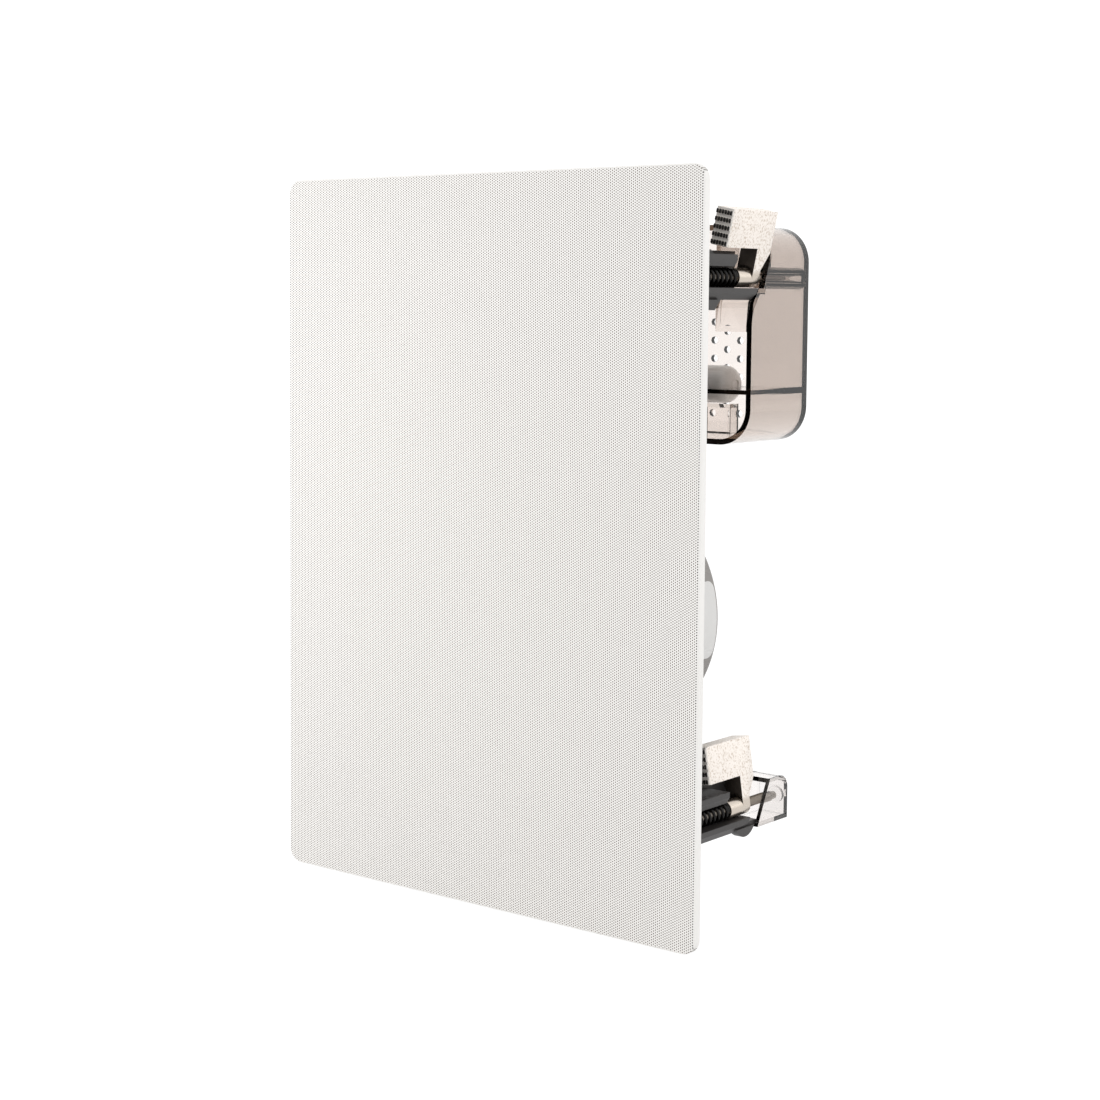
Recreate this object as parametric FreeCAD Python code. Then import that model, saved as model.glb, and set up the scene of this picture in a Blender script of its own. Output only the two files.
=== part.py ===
"""Two-way in-wall loudspeaker with a perforated magnetic grille and four swing-out clamps.

Millimetres. +X is to the right seen from the room, +Y goes into the wall and +Z is up.
The origin is the centre of the frame's rear face, which lies on the wall's surface.
"""
import FreeCAD, Part
import math
import os

V = FreeCAD.Vector

# Grille
GRILLE_W = 208.0
GRILLE_H = 290.0
GRILLE_R = 6.0
GRILLE_SHEET = 0.6
GRILLE_FACE_Y = -4.0
GRILLE_FOLD = 3.4
GRILLE_BEND = 0.9
GRILLE_FIT = 0.4

# Frame flange and the tray behind it
TRAY_W = 185.0
TRAY_H = 267.0
TRAY_R = 12.0
TRAY_WALL = 2.0
BAFFLE_Y = 9.0
BAFFLE_T = 3.0
RIB_H = 4.0
RIB_T = 2.0
MAGNET_R = 4.0
MAGNET_T = 2.0
MAGNET_INSET = 6.0
MAGNET_SHARES = (-0.92, -0.33, 0.33, 0.92)

# Clamp towers: each has its own u (outward) and w (towards the parked arm) directions
TOWER_X = 85.5
TOWER_Z_UP = 104.65
TOWER_Z_LOW = -101.55
RAIL_REACH = 5.0
RAIL_GAP = 0.3
RAIL_T = 4.5
RAIL_BEVEL_T = 2.4
RAIL_BEVEL_D = 1.3
SHORT_RAIL_Y = 39.5
LONG_RAIL_Y = 54.6
LONG_RAIL_SLANT = 3.6
WEB_U = 6.0
WEB_T = 2.0
WEB_STOP_W = 10.2
SEAT_Y = 18.0
GUSSET_Y = 27.0
GUSSET_W = 2.0
GUSSET_T = 2.6
FOOT_Y = 28.0
FOOT_W = 3.9
LUG_R = 7.5
LUG_T = 3.2
LUG_DROP = 2.6
NUB_W = 17.4
NUB_SIZE = 2.4
NUB_Y = 19.0

# Clamp arm, its rubber pad, screw and spring
ARM_T = 7.5
ARM_IN = 12.0
ARM_OUT = 26.5
ARM_REAR_Y = 61.0
ARM_LEG_T = 9.5
ARM_FRONT_Y = 30.6
BARREL_FRONT_Y = 43.0
BARREL_REAR_Y = 56.5
LEG_TAPER_R = 10.5
ARM_EDGE = 0.7
PAD_BACK = 0.6
PAD_RIB = 0.9
PAD_ROWS = 5
PAD_TEETH = 4
PAD_GAP_SHARE = 0.2
SCREW_R = 1.95
SCREW_FIT = 0.05
SCREW_CLEAR = 0.35
SCREW_TIP_Y = 78.5
SCREW_HEAD_R = 3.7
SCREW_HEAD_T = 2.5
DRIVE_W = 1.0
DRIVE_L = 4.2
DRIVE_D = 1.6
SPRING_WIRE = 1.2
SPRING_PITCH = 3.6
SPRING_END_GAP = 0.3
SPRING_SIDE_GAP = 0.35
SPRING_STEPS = 10
TILTS = {"upper_right": 12.0, "lower_right": -8.5, "upper_left": 4.0, "lower_left": -3.0}

# Smoked clear cover over the crossover
COVER_W = 181.0
COVER_BOTTOM_Z = 40.0
COVER_TOP_Z = 125.0
COVER_R = 14.0
COVER_FRONT_Y = 50.0
COVER_REAR_Y = 91.5
COVER_T = 2.2
SHELF_Z = 60.6
SHELF_T = 1.7
NOTCH_IN_X = 76.2
VENT_R = 1.6
VENT_PITCH = 7.44
VENT_ROWS = 5
VENT_COLUMNS = (48.0, 54.2, 60.4)
VENT_SIDES = 8
VENT_Z = 87.1
NOTCH_FRONT = ((49.0, -18.6), (50.0, -18.6))
NOTCH_EDGE = ((51.0, -9.6), (54.8, -4.1), (58.4, -4.1), (60.6, 2.5), (62.4, 6.5), (63.2, 12.0), (63.2, 28.7))
TUNNEL_R = 4.3
TUNNEL_WALL = 1.3
TUNNEL_REAR_Y = 89.3
POCKET_X = (44.0, 60.0)
POCKET_TOP_Z = 54.0
POCKET_FRONT_Y = 83.0
PILLAR_R = 4.2
PILLARS = ((-38.0, 52.5), (38.0, 52.5), (-36.0, 117.5), (36.0, 117.5))
PILLAR_SCREW_R = 1.5
PILLAR_SCREW_L = 14.0
COVER_SCREW_HEAD_R = 2.9
COVER_SCREW_HEAD_T = 1.8

# Clear caps over the lower screw tips
CAP_W_LOW = -9.1
CAP_W_HIGH = 8.6
CAP_U_IN = 8.5
CAP_T = 1.6
CAP_REAR_Y = 82.0
CAP_FRONT_Y = 60.0
CAP_SLOPE = 0.5
CAP_TOP_R = 5.5
CAP_BOSS_R = 3.3
CAP_BOSS_L = 1.4

# Woofer
WOOFER_Z = -35.0
WOOFER_R = 82.5
WOOFER_SEAT_W = 8.5
BASKET_FLANGE_T = 2.5
BASKET_T = 1.6
BASKET_THROAT_R = 47.0
BASKET_REAR_Y = 56.0
BASKET_FLOOR_T = 2.0
BASKET_SHOULDER = 4.0
BASKET_BEND_Y = 23.0
BASKET_BORE_R = 16.6
BASKET_SPOKES = 4
BASKET_SPOKE_W = 16.0
BASKET_SPOKE_START = 45.0
SPIDER_SEAT_T = 2.0
SPIDER_R = 40.0
SPIDER_Y = 37.5
SPIDER_T = 0.5
SPIDER_WAVES = 4
SPIDER_WAVE_H = 1.2
GLUE_LINE = 0.05
CONE_FRONT_Y = 7.0
CONE_NECK_Y = 33.0
CONE_T = 0.9
CONE_STEPS = 4
CONE_FLARE = 0.85
CONE_RIM = 3.0
CONE_NECK_L = 2.0
SURROUND_EDGE = 1.0
SURROUND_W = 13.0
SURROUND_T = 0.6
SURROUND_LIP = 1.7
SURROUND_STEPS = 5
DUST_CAP_R = 21.0
DUST_CAP_RISE = 6.5
DUST_CAP_T = 0.5
COIL_R = 12.6
FORMER_T = 0.3
COIL_T = 0.6
COIL_L = 11.0
COIL_GAP = 0.4
FORMER_FRONT_Y = 31.5
FORMER_REAR_Y = 70.0
TOP_PLATE_T = 6.0
PLATE_STEP = 2.0
MAGNET_RING_R = 50.0
MAGNET_RING_T = 18.0
MAGNET_BORE_R = 24.0
YOKE_T = 6.0
POLE_VENT_R = 5.0
POLE_VENT_FLARE = 3.5
BOOT_WALL = 3.0
BOOT_FRONT_Y = 58.0
BOOT_REAR_Y = 88.2
BOOT_HEM = 15.0
BOOT_LIP = 1.5
BOOT_ROUND = 1.4
LABEL_T = 0.25
LABEL_Y = (66.0, 86.0)
LABEL_HALF_ANGLE = 47.0
TERMINAL_TAB_W = 6.3
TERMINAL_TAB_T = 0.8
TAB_STRIP_W = 20.0
TAB_STRIP_INSET = 3.0
WOOFER_SCREWS = 6
WOOFER_SCREW_START = 30.0
DRIVER_SCREW_R = 1.7
DRIVER_SCREW_HEAD_R = 3.2
DRIVER_SCREW_HEAD_T = 1.6
DRIVER_SCREW_L = 9.0

# Tweeter
TWEETER_Z = 92.6
TWEETER_R = 36.0
TWEETER_PLATE_T = 3.0
TWEETER_SPIGOT_L = 2.0
TWEETER_ROUND = 0.8
TWEETER_HOLE_R = 27.5
HORN_R = 24.0
HORN_THROAT_R = 19.0
HORN_DEPTH = 1.6
HORN_LAND = 0.5
DOME_R = 12.6
DOME_RISE = 4.6
DOME_T = 0.4
DOME_EDGE_T = 0.5
DOME_SET_BACK = 0.5
DOME_RING_R = 16.0
TWEETER_MOTOR_R = 26.0
TWEETER_PLATE_THICK = 3.0
TWEETER_MAGNET_T = 9.0
TWEETER_YOKE_T = 4.0
TWEETER_CUP_R = 18.0
TWEETER_CUP_L = 13.0
TWEETER_CUP_WALL = 1.5
TWEETER_CUP_CHAMFER = 2.0
TWEETER_VENT_R = 3.0
TWEETER_BORE_GAP = 2.0
TWEETER_GAP = 0.4
TWEETER_SCREWS = 4
TWEETER_SCREW_START = 45.0
TWEETER_COIL_T = 0.5
TWEETER_COIL_L = 4.0

# Crossover
BOARD_W = 70.0
BOARD_T = 1.6
BOARD_Z = (64.0, 113.0)
BOARD_Y = 80.0
POST_R = 2.5
POST_INSET = (5.0, 10.0)
AIR_COIL_R = 14.0
AIR_COIL_L = 12.0
BOBBIN_T = 1.0
AIR_COIL_AT = (-18.0, 97.0)
CORE_COIL_R = 9.0
CORE_COIL_L = 22.0
CORE_COIL_AT = (18.0, 76.0)
SMALL_CAP_R = 6.0
SMALL_CAP_L = 26.0
SMALL_CAP_AT = (16.0, 101.0)
RESISTOR = (25.0, 9.0, 9.0)
RESISTOR_AT = (-17.0, 72.5)
BIG_CAP_R = 7.5
BIG_CAP_X = (42.0, 70.5)
BIG_CAP_Y = 71.0
BIG_CAP_Z = 62.6
BIG_CAP_FIT = 0.3

# Push terminals in the cover's rear wall
TERMINAL_W = 40.0
TERMINAL_H = 16.0
TERMINAL_Z = 50.8
TERMINAL_FRONT_Y = 80.0
TERMINAL_PROUD = 1.6
BUTTON_W = 11.0
BUTTON_H = 6.0
BUTTON_PROUD = 3.4
BUTTON_X = 9.0
BUTTON_LIFT = 3.0
BUTTON_ROUND = 0.6
BUTTON_FIT = 0.4
BUTTON_TRAVEL = 2.0
WIRE_HOLE_R = 1.6
WIRE_HOLE_DROP = 5.4
TERMINAL_LIP = 1.5
TERMINAL_FLOOR = 3.0

# Values worked out from the ones above
FLANGE_FRONT_Y = GRILLE_FACE_Y + GRILLE_SHEET
FLANGE_W = GRILLE_W - 2 * (GRILLE_SHEET + GRILLE_FIT)
FLANGE_H = GRILLE_H - 2 * (GRILLE_SHEET + GRILLE_FIT)
FLANGE_R = GRILLE_R - GRILLE_SHEET - GRILLE_FIT
BAFFLE_REAR_Y = BAFFLE_Y + BAFFLE_T
BARREL_R = ARM_T / 2
SLOT_HALF = BARREL_R + RAIL_GAP
SPRING_R = SLOT_HALF - SPRING_SIDE_GAP
WOOFER_HOLE_R = WOOFER_R - WOOFER_SEAT_W
BASKET_BEND_R = WOOFER_HOLE_R - BASKET_SHOULDER
SURROUND_R = WOOFER_HOLE_R - SURROUND_EDGE
CONE_R = SURROUND_R - SURROUND_W
TOP_PLATE_R = MAGNET_RING_R - PLATE_STEP
YOKE_R = MAGNET_RING_R - PLATE_STEP
BOOT_R = MAGNET_RING_R + BOOT_WALL
BOOT_OPEN_R = BOOT_R - BOOT_HEM
TOP_PLATE_Y = BASKET_REAR_Y
MAGNET_RING_Y = TOP_PLATE_Y + TOP_PLATE_T
YOKE_Y = MAGNET_RING_Y + MAGNET_RING_T
SHANK_HOLE_R = SCREW_R + SCREW_CLEAR
SIDES = {"upper_right": (1, TOWER_Z_UP), "lower_right": (1, TOWER_Z_LOW),
         "upper_left": (-1, TOWER_Z_UP), "lower_left": (-1, TOWER_Z_LOW)}
BASKET_FRONT_Y = BAFFLE_Y - BASKET_FLANGE_T
BASKET_FLOOR_Y = BASKET_REAR_Y - BASKET_FLOOR_T
FORMER_R = COIL_R + FORMER_T
DOME_EDGE_Y = BAFFLE_Y + DOME_SET_BACK
TWEETER_MOTOR_Y = BAFFLE_Y + TWEETER_SPIGOT_L
TWEETER_MAGNET_Y = TWEETER_MOTOR_Y + TWEETER_PLATE_THICK
TWEETER_YOKE_Y = TWEETER_MAGNET_Y + TWEETER_MAGNET_T
TWEETER_CUP_Y = TWEETER_YOKE_Y + TWEETER_YOKE_T
TERMINAL_REAR_Y = COVER_REAR_Y + TERMINAL_PROUD
WELL_Y = TERMINAL_FRONT_Y + TERMINAL_FLOOR
BUTTON_Z = TERMINAL_Z + BUTTON_LIFT
FAR = 400.0
OVER = 1.0
NEAR = 1e-6
Y_AXIS = V(0, 1, 0)


def box(x, y, z):
    """A box between pairs of limits along the three axes."""
    return Part.makeBox(x[1] - x[0], y[1] - y[0], z[1] - z[0], V(x[0], y[0], z[0]))


def rod(r, y0, y1, x=0.0, z=0.0):
    """A cylinder along +Y."""
    return Part.makeCylinder(r, y1 - y0, V(x, y0, z), Y_AXIS)


def ring(r_out, r_in, y0, y1, x=0.0, z=0.0):
    """A tube along +Y."""
    return rod(r_out, y0, y1, x, z).cut(rod(r_in, y0 - OVER, y1 + OVER, x, z))


def face_of(points):
    """A flat face on a closed loop of points."""
    loop = list(points) + [points[0]]
    return Part.Face(Part.makePolygon(loop))


def prism_y(points, y0, y1):
    """A prism along +Y on an outline given as (x, z)."""
    return face_of([V(x, y0, z) for x, z in points]).extrude(V(0, y1 - y0, 0))


def prism_x(points, x0, x1):
    """A prism along +X on an outline given as (y, z)."""
    return face_of([V(x0, y, z) for y, z in points]).extrude(V(x1 - x0, 0, 0))


def spun(points, x=0.0, z=0.0):
    """A turned solid about an axis along +Y on an outline given as (radius, y)."""
    outline = face_of([V(x + r, y, z) for r, y in points])
    return outline.revolve(V(x, 0, z), Y_AXIS, 360)


def rounded_slab(w, h, r, y0, y1, z_mid=0.0):
    """A slab across Y with four round corners."""
    a = w / 2
    b = h / 2
    slab = box((-a, a), (y0, y1), (z_mid - b, z_mid + b))
    edges = [e for e in slab.Edges if e.Length > 0 and is_along_y(e)]
    return slab.makeFillet(r, edges)


def is_along_y(edge):
    """Whether a straight edge lies along Y."""
    first = edge.Vertexes[0].Point
    last = edge.Vertexes[-1].Point
    return abs(first.x - last.x) < NEAR and abs(first.z - last.z) < NEAR


def loop_at(shape, y):
    """The outer edges of a slab on the plane at one depth."""
    return [e for e in shape.Edges if abs(e.BoundBox.YMin - y) < NEAR and abs(e.BoundBox.YMax - y) < NEAR]


def placed(shape, side):
    """Move a clamp piece from its own u, w frame to its corner of the frame."""
    sign, z = SIDES[side]
    if sign < 0:
        shape.rotate(V(0, 0, 0), Y_AXIS, 180)
    shape.translate(V(sign * TOWER_X, 0, z))
    return shape


def on_circle(count, r, x, z, start=0.0):
    """Points on a circle across Y."""
    step = 2 * math.pi / count
    first = math.radians(start)
    return [(x + r * math.cos(first + i * step), z + r * math.sin(first + i * step)) for i in range(count)]


def grille_panel():
    """Steel sheet with its rim folded back on all four sides."""
    rear = GRILLE_FACE_Y + GRILLE_FOLD
    outer = rounded_slab(GRILLE_W, GRILLE_H, GRILLE_R, GRILLE_FACE_Y, rear)
    outer = outer.makeFillet(GRILLE_BEND, loop_at(outer, GRILLE_FACE_Y))
    inset = 2 * GRILLE_SHEET
    r_in = GRILLE_R - GRILLE_SHEET
    inner = rounded_slab(GRILLE_W - inset, GRILLE_H - inset, r_in, GRILLE_FACE_Y + GRILLE_SHEET, rear + OVER)
    return outer.cut(inner)


def magnet_places():
    """Centres of the grille magnets round the flange."""
    side_x = FLANGE_W / 2 - MAGNET_INSET
    end_z = FLANGE_H / 2 - MAGNET_INSET
    places = [(s * side_x, k * end_z) for s in (-1, 1) for k in MAGNET_SHARES]
    return places + [(0.0, -end_z), (0.0, end_z)]


def magnets():
    """Disc magnets let into the flange's front face."""
    discs = [rod(MAGNET_R, FLANGE_FRONT_Y, FLANGE_FRONT_Y + MAGNET_T, x, z) for x, z in magnet_places()]
    return Part.makeCompound(discs)


def bevelled_rail(w_low, w_high, y1):
    """A guide rail with a slanted lower outer face."""
    outline = [(-WEB_U, w_low), (RAIL_REACH - RAIL_BEVEL_D, w_low), (RAIL_REACH, w_low + RAIL_BEVEL_T),
               (RAIL_REACH, w_high), (-WEB_U, w_high)]
    return prism_y(outline, BAFFLE_Y, y1)


def long_rail():
    """The long guide rail, cut on a slant at its rear end."""
    low = -SLOT_HALF - RAIL_T
    rail = bevelled_rail(low, -SLOT_HALF, LONG_RAIL_Y)
    slant = [(LONG_RAIL_Y - LONG_RAIL_SLANT, low), (LONG_RAIL_Y + OVER, low),
             (LONG_RAIL_Y + OVER, -SLOT_HALF), (LONG_RAIL_Y, -SLOT_HALF)]
    return rail.cut(prism_x(slant, -WEB_U - WEB_T - OVER, RAIL_REACH + OVER))


def web_outline(side):
    """Side view, as (y, w), of the wall that joins the rails and stops the parked arm."""
    low = -SLOT_HALF - RAIL_T
    if side.startswith("lower"):
        seat = cap_seat_y(low)
        return [(BAFFLE_Y, low), (seat, low), (cap_seat_y(CAP_W_HIGH), CAP_W_HIGH), (LONG_RAIL_Y, WEB_STOP_W),
                (BAFFLE_Y, WEB_STOP_W)]
    return [(BAFFLE_Y, low), (LONG_RAIL_Y - LONG_RAIL_SLANT, low), (LONG_RAIL_Y, -SLOT_HALF),
            (LONG_RAIL_Y, WEB_STOP_W), (BAFFLE_Y, WEB_STOP_W)]


def cap_seat_y(w):
    """Depth of the slanted seat of a tip cap at one height."""
    return CAP_FRONT_Y + CAP_SLOPE * (w - CAP_W_LOW)


def rail_tongue():
    """The end of a lower long rail that reaches back to the tip cap."""
    low = -SLOT_HALF - RAIL_T
    high = low + RAIL_T / 2
    side = [(LONG_RAIL_Y - LONG_RAIL_SLANT - OVER, low), (cap_seat_y(low), low), (cap_seat_y(high), high),
            (LONG_RAIL_Y - LONG_RAIL_SLANT - OVER, high)]
    return prism_x(side, -WEB_U, RAIL_REACH - CAP_T)


def lug():
    """A round lug under the end of a lower long rail."""
    low = -SLOT_HALF - RAIL_T
    centre = V(RAIL_REACH - LUG_T, LONG_RAIL_Y - LONG_RAIL_SLANT, low + LUG_R - LUG_DROP)
    disc = Part.makeCylinder(LUG_R, LUG_T, centre, V(1, 0, 0))
    top = low + OVER
    return disc.cut(box((-FAR, FAR), (-FAR, FAR), (top, FAR)))


def tower(side):
    """A clamp tower: two rails and a web round the screw, on a solid root."""
    low = -SLOT_HALF - RAIL_T
    high = SLOT_HALF + RAIL_T
    body = bevelled_rail(SLOT_HALF, high, SHORT_RAIL_Y).fuse(long_rail())
    body = body.fuse(prism_x(web_outline(side), -WEB_U - WEB_T, -WEB_U))
    body = body.fuse(box((-WEB_U, RAIL_REACH), (BAFFLE_Y, SEAT_Y), (low, high)))
    rib_top = WEB_STOP_W
    rib = [(BAFFLE_Y, high), (GUSSET_Y, high), (GUSSET_Y - GUSSET_W, rib_top), (BAFFLE_Y, rib_top)]
    body = body.fuse(prism_x(rib, RAIL_REACH - 2 * GUSSET_T, RAIL_REACH - GUSSET_T))
    if side.startswith("lower"):
        body = body.fuse(rail_tongue()).fuse(lug())
    else:
        foot = [(BAFFLE_Y, low - FOOT_W), (FOOT_Y - FOOT_W, low - FOOT_W), (FOOT_Y, low), (BAFFLE_Y, low)]
        body = body.fuse(prism_x(foot, RAIL_REACH - 2 * GUSSET_T, RAIL_REACH))
    nub_w = (NUB_W - NUB_SIZE / 2, NUB_W + NUB_SIZE / 2)
    nub = box((RAIL_REACH - GUSSET_T, RAIL_REACH), (BAFFLE_Y, NUB_Y), nub_w)
    return placed(body.fuse(nub), side)


def tray():
    """The flange with the shallow tray that carries the drive units."""
    flange = rounded_slab(FLANGE_W, FLANGE_H, FLANGE_R, FLANGE_FRONT_Y, 0.0)
    skirt = rounded_slab(TRAY_W, TRAY_H, TRAY_R, -OVER, BAFFLE_REAR_Y)
    wall = 2 * TRAY_WALL
    hollow = rounded_slab(TRAY_W - wall, TRAY_H - wall, TRAY_R - TRAY_WALL, FLANGE_FRONT_Y - OVER, BAFFLE_Y)
    return flange.fuse(skirt).cut(hollow)


def baffle_ribs():
    """Thick seats round both holes and two upright bars on the baffle's rear."""
    rear = BAFFLE_REAR_Y + RIB_H
    front = BAFFLE_REAR_Y - OVER
    ribs = rod(WOOFER_R, front, rear, 0, WOOFER_Z).fuse(rod(TWEETER_R, front, rear, 0, TWEETER_Z))
    reach = TRAY_H / 2 - TRAY_WALL
    for sign in (-1, 1):
        x = sign * (TOWER_X - WEB_U - 2 * WEB_T)
        ribs = ribs.fuse(box((x - RIB_T / 2, x + RIB_T / 2), (front, rear), (-reach, reach)))
    return ribs


def frame_baffle():
    """The one-piece moulded frame with baffle, ribs, clamp towers and cover pillars."""
    body = tray().fuse(baffle_ribs())
    for x, z in PILLARS:
        body = body.fuse(rod(PILLAR_R, BAFFLE_Y, COVER_FRONT_Y, x, z))
    for side in SIDES:
        body = body.fuse(tower(side))
    front = FLANGE_FRONT_Y - OVER
    deep = BAFFLE_REAR_Y + RIB_H + OVER
    body = body.cut(rod(WOOFER_HOLE_R, front, deep, 0, WOOFER_Z))
    body = body.cut(rod(TWEETER_HOLE_R, front, deep, 0, TWEETER_Z))
    for sign, z in SIDES.values():
        body = body.cut(rod(SHANK_HOLE_R, BAFFLE_Y - OVER, SEAT_Y + OVER, sign * TOWER_X, z))
    for x, z in PILLARS:
        body = body.cut(rod(PILLAR_SCREW_R, COVER_FRONT_Y - PILLAR_SCREW_L, COVER_FRONT_Y + OVER, x, z))
    for x, z in magnet_places():
        body = body.cut(rod(MAGNET_R, front, FLANGE_FRONT_Y + MAGNET_T, x, z))
    for x, z in driver_screw_places():
        body = body.cut(rod(DRIVER_SCREW_R, BAFFLE_Y - OVER, deep, x, z))
    return body.removeSplitter()


def driver_screw_places():
    """Centres of the screws that hold both drive units."""
    woofer_r = (WOOFER_R + WOOFER_HOLE_R) / 2
    tweeter_r = (TWEETER_R + TWEETER_HOLE_R) / 2
    places = on_circle(WOOFER_SCREWS, woofer_r, 0, WOOFER_Z, WOOFER_SCREW_START)
    return places + on_circle(TWEETER_SCREWS, tweeter_r, 0, TWEETER_Z, TWEETER_SCREW_START)


def cross_recess(x, y, z):
    """A cross recess that opens towards the room."""
    a = DRIVE_L / 2
    b = DRIVE_W / 2
    upright = box((x - b, x + b), (y - OVER, y + DRIVE_D), (z - a, z + a))
    level = box((x - a, x + a), (y - OVER, y + DRIVE_D), (z - b, z + b))
    return upright.fuse(level)


def pan_screw(r, head_r, head_t, seat_y, length, x, z):
    """A pan-head screw that points into the wall."""
    y = seat_y - head_t
    rim = head_t / 2
    outline = [(0, y), (head_r - rim, y), (head_r, y + rim), (head_r, seat_y), (r, seat_y),
               (r, seat_y + length - r), (r / 2, seat_y + length), (0, seat_y + length)]
    return spun(outline, x, z)


def driver_screws():
    """The screws of the drive units, all alike."""
    screws = []
    for i, (x, z) in enumerate(driver_screw_places()):
        is_woofer = i < WOOFER_SCREWS
        seat = BAFFLE_Y - (BASKET_FLANGE_T if is_woofer else TWEETER_PLATE_T)
        head = rod(DRIVER_SCREW_HEAD_R, seat - DRIVER_SCREW_HEAD_T, seat, x, z)
        screws.append(head.fuse(rod(DRIVER_SCREW_R, seat, seat + DRIVER_SCREW_L, x, z)))
    return Part.makeCompound(screws)


def clamp_screw(side):
    """The long screw of one clamp."""
    length = SCREW_TIP_Y - BAFFLE_Y
    screw = pan_screw(SCREW_R, SCREW_HEAD_R, SCREW_HEAD_T, BAFFLE_Y, length, 0, 0)
    return placed(screw.cut(cross_recess(0, BAFFLE_Y - SCREW_HEAD_T, 0)), side)


def spring_section(r, turn, y):
    """The wire's four-sided section at one place along the coil."""
    h = SPRING_WIRE / 2
    a = 2 * math.pi * turn
    corners = [(r + h, 0), (r, h), (r - h, 0), (r, -h), (r + h, 0)]
    return Part.makePolygon([V(d * math.cos(a), y + lift, d * math.sin(a)) for d, lift in corners])


def clamp_spring(side):
    """The coil spring between the tower's root and the clamp arm."""
    y0 = SEAT_Y + SPRING_END_GAP + SPRING_WIRE / 2
    y1 = BARREL_FRONT_Y - SPRING_END_GAP - SPRING_WIRE / 2
    turns = (y1 - y0) / SPRING_PITCH
    steps = round(turns * SPRING_STEPS)
    r = SPRING_R - SPRING_WIRE / 2
    sections = [spring_section(r, turns * i / steps, y0 + (y1 - y0) * i / steps) for i in range(steps + 1)]
    return placed(Part.makeLoft(sections, True, True), side)


def arm_side_view():
    """Side view of a clamp arm, as (y, w): a hook with a tapering leg."""
    leg = ARM_REAR_Y - ARM_LEG_T
    return [(leg, 0.0), (BARREL_REAR_Y, 0.0), (BARREL_REAR_Y, BARREL_R), (ARM_REAR_Y, LEG_TAPER_R),
            (ARM_REAR_Y, ARM_OUT), (ARM_FRONT_Y, ARM_OUT), (ARM_FRONT_Y, ARM_IN), (leg, ARM_IN)]


def clamp_arm(side):
    """The die-cast hook that swings out behind the wall board."""
    hook = prism_x(arm_side_view(), -ARM_T / 2, ARM_T / 2)
    block = [e for e in hook.Edges if e.BoundBox.ZMin > ARM_OUT - OVER and e.Length < ARM_T + OVER]
    rounded = hook.makeFillet(ARM_EDGE, block)
    barrel = rod(BARREL_R, BARREL_FRONT_Y, BARREL_REAR_Y)
    arm = rounded.fuse(barrel)
    arm = arm.cut(rod(SCREW_R + SCREW_FIT, BARREL_FRONT_Y - OVER, ARM_REAR_Y + OVER))
    arm.rotate(V(0, 0, 0), Y_AXIS, TILTS[side])
    return placed(arm, side)


def clamp_pad(side):
    """The toothed rubber pad on the front of a clamp arm."""
    y0 = ARM_FRONT_Y - PAD_BACK
    a = ARM_T / 2
    pad = box((-a, a), (y0, ARM_FRONT_Y), (ARM_IN, ARM_OUT))
    pitch_w = (ARM_OUT - ARM_IN) / PAD_ROWS
    pitch_u = ARM_T / PAD_TEETH
    gap_w = pitch_w * PAD_GAP_SHARE
    gap_u = pitch_u * PAD_GAP_SHARE
    for row in range(PAD_ROWS):
        w = ARM_IN + row * pitch_w
        for tooth in range(PAD_TEETH):
            u = -a + tooth * pitch_u
            block = box((u + gap_u, u + pitch_u - gap_u), (y0 - PAD_RIB, y0 + PAD_BACK / 2),
                        (w + gap_w, w + pitch_w - gap_w))
            pad = pad.fuse(block)
    pad.rotate(V(0, 0, 0), Y_AXIS, TILTS[side])
    return placed(pad, side)


def notch(side, wall):
    """The clamp's space in the cover, with a wall round it or none."""
    edge = [(y + wall, w) for y, w in NOTCH_EDGE]
    outline = list(NOTCH_FRONT) + edge + [(NOTCH_FRONT[0][0], NOTCH_EDGE[-1][1])]
    body = prism_x(outline, NOTCH_IN_X - TOWER_X - wall, COVER_W / 2 + OVER - TOWER_X)
    if wall > 0:
        body = body.fuse(body.translated(V(0, 0, wall))).fuse(body.translated(V(0, 0, -wall)))
    return placed(body, side)


def vent_holes():
    """Rows of vents in two fields of the cover's rear wall, staggered by half a pitch."""
    holes = []
    front = COVER_REAR_Y - COVER_T - OVER
    for i, x in enumerate(VENT_COLUMNS):
        shift = VENT_PITCH / 2 if i % 2 == 1 else 0.0
        for row in range(VENT_ROWS + 1):
            z = VENT_Z + shift - row * VENT_PITCH
            if abs(z - SHELF_Z) < VENT_R + SHELF_T:
                continue
            for sign in (-1, 1):
                outline = on_circle(VENT_SIDES, VENT_R, sign * x, z)
                holes.append(prism_y(outline, front, COVER_REAR_Y + OVER))
    return holes


def cover_shelf():
    """The level shelf across the cover, notched for the large capacitor."""
    a = COVER_W / 2 - COVER_T / 2
    half = SHELF_T / 2
    shelf = box((-a, a), (COVER_FRONT_Y, COVER_REAR_Y - COVER_T / 2), (SHELF_Z - half, SHELF_Z + half))
    gap = BIG_CAP_R + BIG_CAP_FIT
    slot = box((BIG_CAP_X[0] - BIG_CAP_FIT, BIG_CAP_X[1] + BIG_CAP_FIT), (BIG_CAP_Y - gap, BIG_CAP_Y + gap),
               (SHELF_Z - SHELF_T, SHELF_Z + SHELF_T))
    return shelf.cut(slot)


def cover_pockets():
    """Two small closed boxes inside the cover's lower corners."""
    shells = []
    y1 = COVER_REAR_Y - COVER_T / 2
    z0 = COVER_BOTTOM_Z + COVER_T / 2
    for sign in (-1, 1):
        x = sorted((sign * POCKET_X[0], sign * POCKET_X[1]))
        outer = box(x, (POCKET_FRONT_Y, y1), (z0, POCKET_TOP_Z))
        inner = box((x[0] + CAP_T, x[1] - CAP_T), (POCKET_FRONT_Y + CAP_T, y1), (z0, POCKET_TOP_Z - CAP_T))
        shells.append(outer.cut(inner))
    return shells


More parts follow.
